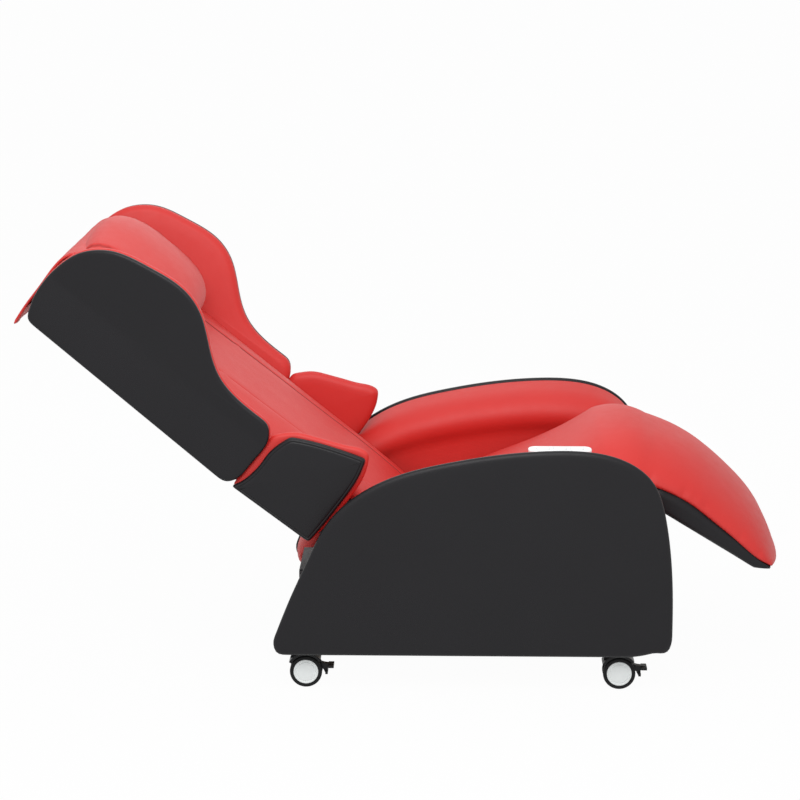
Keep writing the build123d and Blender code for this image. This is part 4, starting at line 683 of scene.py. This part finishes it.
rings, marks = [], []
for turn in np.linspace(76, 8, 9):
    out = BACK_OUT * math.cos(math.radians(turn)) - BACK_UP * math.sin(math.radians(turn))
    section, mark = back_row(WAIST_HALF_WIDTH, FRAME_CLEAR, ROLL_TOP, 0.002)
    rings.append(HINGE + np.outer(section[:, 1], out) + np.outer(section[:, 0], [0, 1, 0]))
    marks.append(mark)
for up in np.concatenate([[0.0, 0.012, 0.024, 0.03], np.linspace(0.05, 0.232, 12), [0.2385, 0.2402],
                          np.linspace(0.246, 0.570, 26), [0.577, 0.581, 0.585, 0.589, 0.593],
                          np.linspace(0.600, 0.984, 26), [0.990, 0.9945, 0.9965]]):
    top = np.interp(np.clip(up + np.linspace(-0.03, 0.03, 9), 0, 0.992), *BACK_TABLE.T).mean()
    width = WAIST_HALF_WIDTH if up < WAIST_TOP else BACK_HALF_WIDTH
    low = FRAME_CLEAR if up < 0.013 else 0.0004
    groove = SEAM_DEPTH * (1 - 0.85 * math.exp(-((up - SEAM_BREAK) / 0.008) ** 2))
    fade = np.clip((0.9985 - up) / 0.006, 0.25, 1)
    section, mark = back_row(width, low, top * fade, min(groove, top * fade / 3))
    ring = on_back(up, section[:, 1], section[:, 0])
    wave = np.array([noise.noise(Vector(spot * [5, 9, 5])) for spot in ring])
    rings.append(ring + np.outer(LUMBAR_WAVE * wave * (section[:, 1] > 0.004), BACK_OUT))
    marks.append(mark)
back_leather = sewn_skin("back_cushion_leather", rings, red_leather, marks)
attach(back_leather, "backrest")
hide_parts("back_cushion")

# Rear cover. A black leather pan closes the back and its frame from behind, with soft corners and
# a narrow waist between the arms. Its middle stands out a little over the wadding.
REAR_HALF_WIDTH = 0.298
REAR_DEPTH = 0.110
REAR_FOOT_DEPTH = 0.048
REAR_FOOT = 0.024
REAR_FOOT_RUN = 0.216
REAR_RIM = -0.0003
REAR_WALL = 0.006
REAR_BULGE = 0.004
rear_rings = []
for up in np.concatenate([[0.0245, 0.030], np.linspace(0.045, 0.225, 10), [0.236, 0.2405, 0.2475],
                          np.linspace(0.262, 0.98, 34), [0.99, 0.9965, 0.9995]]):
    upper = up > WAIST_TOP
    width = REAR_HALF_WIDTH if upper else WAIST_HALF_WIDTH
    slope = (REAR_DEPTH - REAR_FOOT_DEPTH) * (up - REAR_FOOT) / REAR_FOOT_RUN
    rear = -min(REAR_DEPTH, REAR_FOOT_DEPTH + slope)
    pull = 0.004 * max(0.0, (up - 0.985) / 0.015) ** 2 + 0.003 * max(0.0, (0.03 - up) / 0.006)
    section = channel_section(width - pull, REAR_RIM, rear + pull, REAR_WALL, 0.016 if upper else 0.01)
    face = np.clip((REAR_RIM - section[:, 1]) / -rear, 0, 1)
    bulge = REAR_BULGE * np.clip(1 - (section[:, 0] / (width - 0.02)) ** 2, 0, 1) * (face > 0.85)
    rear_rings.append(on_back(up, section[:, 1] - bulge, section[:, 0]))
rear_cover = sewn_skin("rear_cover_leather", rear_rings, black_leather)
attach(rear_cover, "backrest")
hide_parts("back_cover")


# Wings. Beside the head a stiff shell in black leather curves forward on each side, with a red
# foam pad glued inside it, sewn round a soft lip.
def share_line(rows, start, length, depth, count):
    """A smooth line through places given as shares of a piece's length and depth."""
    spots = [(start + along * length, PANEL_REAR + out * depth) for along, out in rows]
    return drawn_line(spots, count) if len(spots) > 2 else np.array(spots)


def back_place(side, way, flare=0.0):
    """Maps up, out and depth of a side panel to its place on that side of the backrest."""
    def place(up, out, depth):
        return on_back(up, out, side * (PANEL_SPLIT + way * depth + flare * np.clip(out, 0, 1)))
    return place


PANEL_REAR = -0.112
PANEL_SPLIT = 0.325
WING_START = 0.438
WING_LENGTH = 0.578
WING_DEPTH = 0.268
WING_FLARE = 0.17
# Outline round the front, then the foot, in shares of the wing's length and depth
WING_FRONT = [(0.955, 0.012), (0.980, 0.15), (0.993, 0.34), (0.984, 0.53), (0.958, 0.70),
              (0.918, 0.81), (0.866, 0.893), (0.736, 0.974), (0.574, 1.01), (0.491, 0.955), (0.377, 0.768),
              (0.28, 0.63), (0.17, 0.58), (0.034, 0.583)]
WING_FOOT = [(0.034, 0.583), (-0.005, 0.48), (-0.011, 0.25), (-0.005, 0.05), (0.02, -0.022)]
wing_loop = even_loop(np.vstack([share_line(WING_FRONT, WING_START, WING_LENGTH, WING_DEPTH, 160),
                                 share_line(WING_FOOT, WING_START, WING_LENGTH, WING_DEPTH, 60)[1:]]),
                      280, 8)
wing_middle = np.array([0.73, 0.02])
# Rows from the edge to the middle: inset from the outline, and depth from the split
shell_front = [(0.0, 0.0060), (0.0002, 0.0095), (0.0012, 0.0122), (0.0030, 0.0140), (0.0056, 0.0150),
               (0.0090, 0.0154), (0.0130, 0.0156)]
shell_back = [(0.0003, 0.0025), (0.0015, 0.0006), (0.004, 0.0002), (0.012, 0.0002)]
pad_front = [(-0.0010, 0.0090), (-0.0012, 0.0140), (0.0004, 0.0190), (0.0042, 0.0234), (0.0090, 0.0256),
             (0.0130, 0.0266)]
pad_back = [(-0.0004, 0.0045), (0.0020, 0.0015), (0.0060, 0.0003), (0.012, 0.0002)]
for hand, side in SIDES:
    wing_shell = panel(f"{hand}_wing_leather", wing_loop, wing_middle, shell_front, shell_back,
                       (0.0015, 0.0), back_place(side, 1, WING_FLARE), black_leather)
    wing_pad = panel(f"{hand}_wing_cushion", wing_loop, wing_middle, pad_front, pad_back,
                     (0.0022, 0.0), back_place(side, -1, WING_FLARE), red_leather)
    for piece, part, slot in ((wing_shell, "wing_shell", "black_leather"),
                              (wing_pad, "wing_pad", "red_leather")):
        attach(piece, "backrest")
        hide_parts(f"{hand}_{part}")

# Side flaps. At the waist a smaller flap holds the sitter's sides: a black shell topstitched a
# seam's width inside its edge, and inside it a puffy red pad that stands out all round it.
FLAP_START = 0.237
FLAP_LENGTH = 0.196
FLAP_DEPTH = 0.231
# Outlines of shell and pad side by side, in shares of the flap's length and depth
FLAP_FOOT = [(0.064, 0.985), (0.008, 0.84), (-0.024, 0.68), (-0.038, 0.48), (-0.046, 0.25),
             (-0.044, 0.03)]
FLAP_REAR = [(-0.044, 0.03), (1.006, -0.008)]
FLAP_TOP = [(1.006, -0.008), (0.965, 0.05), (0.922, 0.18), (0.911, 0.32), (0.920, 0.45), (0.898, 0.57),
            (0.850, 0.700)]
FLAP_FRONT = [(0.850, 0.700), (0.66, 0.787), (0.475, 0.857), (0.295, 0.917), (0.064, 0.985)]
FLAP_PAD_FOOT = [(0.070, 1.030), (0.0, 0.94), (-0.050, 0.83), (-0.080, 0.69), (-0.092, 0.50),
                 (-0.088, 0.25), (-0.055, 0.02)]
FLAP_PAD_REAR = [(-0.055, 0.02), (0.995, -0.006)]
FLAP_PAD_TOP = [(0.995, -0.006), (1.0, 0.3), (1.003, 0.60)]
FLAP_PAD_FRONT = [(1.003, 0.60), (0.93, 0.67), (0.855, 0.735), (0.66, 0.825), (0.475, 0.895),
                  (0.295, 0.965), (0.15, 1.025), (0.070, 1.030)]
flap_loop, flap_pad_loop = [
    even_loop(np.vstack([share_line(rows, FLAP_START, FLAP_LENGTH, FLAP_DEPTH, 50)[:-1]
                         for rows in sides]), 240, 6)
    for sides in ((FLAP_FOOT, FLAP_REAR, FLAP_TOP, FLAP_FRONT),
                  (FLAP_PAD_FOOT, FLAP_PAD_REAR, FLAP_PAD_TOP, FLAP_PAD_FRONT))]
flap_middle = np.array([0.333, -0.005])
flap_front = [(0.0, 0.0060), (0.0002, 0.0095), (0.0011, 0.0124), (0.0028, 0.0144), (0.0048, 0.0152),
              (0.0062, 0.0151), (0.0069, 0.0146), (0.0074, 0.0142), (0.0079, 0.0146), (0.0088, 0.0152),
              (0.0105, 0.0156), (0.0140, 0.0158)]
flap_pad_front = [(0.0, 0.0080), (0.0002, 0.0125), (0.0020, 0.0175), (0.0055, 0.0215), (0.0100, 0.0238),
                  (0.0150, 0.0250)]
flap_pad_back = [(0.0012, 0.0040), (0.0035, 0.0015), (0.0065, 0.0004), (0.0120, 0.0003)]
# Painted shade along the topstitch groove, in the shell's rows that form it
stitch_shade_rows = [(7, 0.6), (8, 0.6)]
for hand, side in SIDES:
    flap_shell = panel(f"{hand}_flap_leather", flap_loop, flap_middle, flap_front, shell_back,
                       (0.0015, 0.0), back_place(side, 1), black_leather, stitch_shade_rows)
    flap_pad = panel(f"{hand}_flap_cushion", flap_pad_loop, flap_middle, flap_pad_front,
                     flap_pad_back, (0.0018, 0.0), back_place(side, -1), red_leather)
    for piece, part, slot in ((flap_shell, "flap_shell", "black_leather"),
                              (flap_pad, "flap_pad", "red_leather")):
        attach(piece, "backrest")
        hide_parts(f"{hand}_{part}")

# Head pillow. A full red pillow between the wings: a crowned top sewn to end panels with a
# piped, gathered seam, and a loose tail that hangs over the head end of the back.
PILLOW_MIDDLE = 0.858
PILLOW_FRONT = 0.148
PILLOW_REAR = 0.147
PILLOW_SEAT = 0.0265
PILLOW_CREST = 0.134
PILLOW_HALF_WIDTH = 0.286
PILLOW_SEAM = 0.748
PILLOW_PIPING = (0.738, 0.758)
GATHER = 0.0012
FOLD_DEPTH = 0.003
CROWN_WAVE = 0.0022
# Share of the half width, then length and depth there in shares of the pillow's own
PILLOW_ROWS = [(0.0, 1.0, 1.0), (0.1, 0.998, 0.995), (0.2, 0.992, 0.976), (0.3, 0.982, 0.945),
               (0.4, 0.966, 0.903), (0.5, 0.948, 0.856), (0.58, 0.93, 0.815), (0.65, 0.912, 0.780),
               (0.70, 0.898, 0.752), (0.725, 0.889, 0.735), (0.738, 0.868, 0.708), (0.748, 0.888, 0.735),
               (0.758, 0.868, 0.705), (0.78, 0.865, 0.675), (0.82, 0.85, 0.62), (0.87, 0.825, 0.54),
               (0.92, 0.785, 0.44), (0.96, 0.72, 0.33), (0.985, 0.62, 0.22), (0.998, 0.40, 0.12)]


def pillow_loop(length_share, depth_share):
    """Up and out of each place round the pillow's side outline, widest above its seat."""
    turn = np.linspace(0, math.pi, 60)
    way = np.cos(turn)
    reach = np.where(way > 0, PILLOW_REAR, -PILLOW_FRONT) * length_share
    up = PILLOW_MIDDLE + reach * np.abs(way) ** np.where(way > 0, 0.70, 0.88)
    depth = (PILLOW_CREST - PILLOW_SEAT) * depth_share
    low = PILLOW_SEAT + (PILLOW_CREST - PILLOW_SEAT) * (1 - depth_share) * 0.12
    rear = np.array([(-0.99, 0.22), (-0.965, 0.09), (-0.92, 0.015)])
    under = np.column_stack([np.linspace(-0.86, 0.86, 18), np.zeros(18)])
    lower = np.vstack([rear, under, (rear * [-1, 1])[::-1]])
    lower[:, 0] *= np.where(lower[:, 0] > 0, PILLOW_REAR, PILLOW_FRONT) * length_share
    lower = lower * [1, depth] + [PILLOW_MIDDLE, low]
    return np.vstack([np.column_stack([up, low + depth * (0.36 + 0.64 * np.sin(turn) ** 0.85)]), lower])


rows = [(-wide, a, b) for wide, a, b in PILLOW_ROWS[:0:-1]] + PILLOW_ROWS
rings, marks = [], []
for wide, length_share, depth_share in rows:
    loop = pillow_loop(length_share, depth_share)
    gather = GATHER * math.exp(-((abs(wide) - PILLOW_SEAM) / 0.03) ** 2)
    turn = np.linspace(0, 102, len(loop))
    loop[:, 1] += gather * np.sin(turn) * (loop[:, 1] > 0.04)
    fold = FOLD_DEPTH * math.exp(-((wide + 0.45) / 0.04) ** 2)
    loop[:, 1] -= fold * np.clip((loop[:, 0] - 0.80) / 0.16, 0, 1) * (loop[:, 1] > 0.06)
    spots = on_back(*loop.T, wide * PILLOW_HALF_WIDTH)
    wave = np.array([noise.noise(Vector(spot * [9, 6, 9])) for spot in spots])
    rings.append(spots + np.outer(CROWN_WAVE * wave * (loop[:, 1] > 0.04), BACK_OUT))
    # Painted shade along the piped end seams
    marks.append(np.full(len(loop), 0.55 if abs(wide) in PILLOW_PIPING else 0.0))
pillow = sewn_skin("head_pillow_leather", rings, red_leather, marks)
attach(pillow, "backrest")
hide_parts("head_pillow")

# Pillow tail. The same red leather over thin wadding, closed at the hem. It is sewn to the pillow,
# lies over the head end of the back and hangs behind it in fine ripples.
TAIL_LINE = [(0.965, 0.070), (0.988, 0.056), (1.0050, 0.034), (1.0095, 0.010), (1.0075, -0.046),
             (1.0058, -0.101), (1.0010, -0.1475)]
TAIL_HALF_WIDTH = 0.271
TAIL_HALF_THICKNESS = 0.0032
TAIL_CLEAR = 0.0042
TAIL_RIPPLE = 0.0030
TAIL_ROWS = 40
TAIL_EDGE = np.array([TAIL_HALF_WIDTH - 0.0015, TAIL_HALF_WIDTH])
tail_spine = drawn_line(TAIL_LINE, TAIL_ROWS)
tail_along = np.gradient(tail_spine, axis=0)
tail_along /= np.linalg.norm(tail_along, axis=1)[:, None]
tail_off = np.column_stack([tail_along[:, 1], -tail_along[:, 0]])
tail_off *= np.sign(tail_off[:, :1])
inner_half = TAIL_HALF_WIDTH - 0.005
across = np.concatenate([-TAIL_EDGE[::-1], np.linspace(-inner_half, inner_half, 76), TAIL_EDGE])
rings = []
for row, (spot, off) in enumerate(zip(tail_spine, tail_off)):
    drop = row / (TAIL_ROWS - 1)
    ripple = np.array([noise.noise(Vector((a * 42, 7.0, 1.2 * drop))) for a in across])
    thick = TAIL_HALF_THICKNESS * np.clip((TAIL_HALF_WIDTH + 0.0005 - np.abs(across)) / 0.003, 0.3, 1)
    thick *= 1.0 if 0 < row < TAIL_ROWS - 1 else 0.5
    outer, inner = [spot + np.outer(TAIL_CLEAR + TAIL_RIPPLE * drop * ripple + way * thick, off)
                    for way in (1, -1)]
    loop = np.vstack([outer, inner[::-1]])
    rings.append(on_back(*loop.T, np.concatenate([across, across[::-1]])))
tail = sewn_skin("head_pillow_tail", rings, red_leather, hemmed=True)
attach(tail, "backrest")

# Casters. Each corner has a twin-wheel caster: a black nylon body with a hood, two wheels with
# a rubber tread and a pale domed cap, and a black foot pedal that sets the brake.
CORNERS = (("rear_right", -0.2106, -0.320), ("rear_left", -0.2106, 0.320),
           ("front_right", 0.4664, -0.320), ("front_left", 0.4664, 0.320))
WHEEL_RADIUS = 0.035
CAP_RADIUS = 0.0270
WHEEL_INSIDE = 0.0085
WHEEL_WIDTH = 0.0115
TREAD_ROUND = 0.0036
CAP_EDGE = 0.0014
# Inset and lift of each step from the cap's rim over its groove to its dome
CAP_STEPS = ((0.0022, 0.0), (0.0006, -0.0010), (0.0020, 0.0), (0.0006, 0.0012), (0.006, 0.0006),
             (0.006, 0.0003))


def open_for_editing(piece):
    """Makes a piece the only one selected and opens its mesh with nothing selected."""
    bpy.ops.object.select_all(action="DESELECT")
    bpy.context.view_layer.objects.active = piece
    piece.select_set(True)
    bpy.ops.object.mode_set(mode="EDIT")
    bpy.ops.mesh.select_all(action="DESELECT")
    return bmesh.from_edit_mesh(piece.data)


def pick_faces(shape, test):
    """Selects the faces that pass a test, and nothing else."""
    for item in (*shape.verts, *shape.edges, *shape.faces):
        item.select = False
    for face in shape.faces:
        if test(face):
            face.select_set(True)


def settle():
    """Puts the open piece's place into its mesh and shades it by angle."""
    bpy.ops.object.mode_set(mode="OBJECT")
    bpy.ops.object.transform_apply(location=True, rotation=True, scale=True)
    bpy.ops.object.shade_smooth_by_angle(angle=math.radians(40))


bpy.ops.mesh.primitive_cylinder_add(vertices=64, radius=WHEEL_RADIUS, depth=WHEEL_WIDTH,
                                    rotation=(math.radians(90), 0, 0))
tyre = bpy.context.object
shape = open_for_editing(tyre)
pick_faces(shape, lambda face: len(face.verts) > 4)
bpy.ops.mesh.inset(thickness=WHEEL_RADIUS - CAP_RADIUS - 0.0001)
bpy.ops.mesh.delete(type="FACE")
shape = bmesh.from_edit_mesh(tyre.data)
for edge in shape.edges:
    edge.select_set(edge.is_boundary)
bpy.ops.mesh.bridge_edge_loops()
shape = bmesh.from_edit_mesh(tyre.data)
pick_faces(shape, lambda face: False)
for edge in shape.edges:
    reach = [math.hypot(v.co.x, v.co.y) for v in edge.verts]
    if min(reach) > WHEEL_RADIUS - 0.001 and abs(edge.verts[0].co.z - edge.verts[1].co.z) < 1e-5:
        edge.select_set(True)
bpy.ops.mesh.bevel(offset=TREAD_ROUND, segments=5)
settle()

bpy.ops.mesh.primitive_cylinder_add(vertices=64, radius=CAP_RADIUS, depth=WHEEL_WIDTH,
                                    rotation=(math.radians(90), 0, 0))
cap = bpy.context.object
shape = open_for_editing(cap)
pick_faces(shape, lambda face: len(face.verts) > 4 and face.normal.z > 0.9)
bpy.ops.mesh.bevel(offset=CAP_EDGE, segments=3)
shape = bmesh.from_edit_mesh(cap.data)
pick_faces(shape, lambda face: len(face.verts) > 4 and face.normal.z > 0.9)
for inset, lift in CAP_STEPS:
    bpy.ops.mesh.inset(thickness=inset)
    if lift:
        bpy.ops.transform.translate(value=(0, -lift, 0))
settle()

for corner, wheel_x, wheel_y in CORNERS:
    for model, part, material, slot in ((tyre, "tyre", rubber, "tyre_rubber"),
                                        (cap, "cap", light_plastic, "light_plastic")):
        pair = []
        for side in (-1, 1):
            twin = bpy.data.objects.new(f"{corner}_{part}", model.data.copy())
            scene.collection.objects.link(twin)
            for vertex in twin.data.vertices:
                x, y, z = vertex.co
                y = side * (WHEEL_INSIDE + WHEEL_WIDTH / 2) - side * y
                vertex.co = (x * -side + wheel_x, y + wheel_y, z + WHEEL_RADIUS)
            pair.append(twin)
        bpy.ops.object.select_all(action="DESELECT")
        for twin in pair:
            twin.select_set(True)
        bpy.context.view_layer.objects.active = pair[0]
        bpy.ops.object.join()
        wheel = pair[0]
        wheel.name = f"{corner}_{part}_pair"
        wheel.data.materials.clear()
        wheel.data.materials.append(material)
        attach(wheel, f"{corner}_wheel")
        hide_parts(f"{corner}_tyres" if part == "tyre" else f"{corner}_hubs")
    finish_nodes(black_plastic, f"{corner}_fork", f"{corner}_brake")
for model in (tyre, cap):
    bpy.data.objects.remove(model)
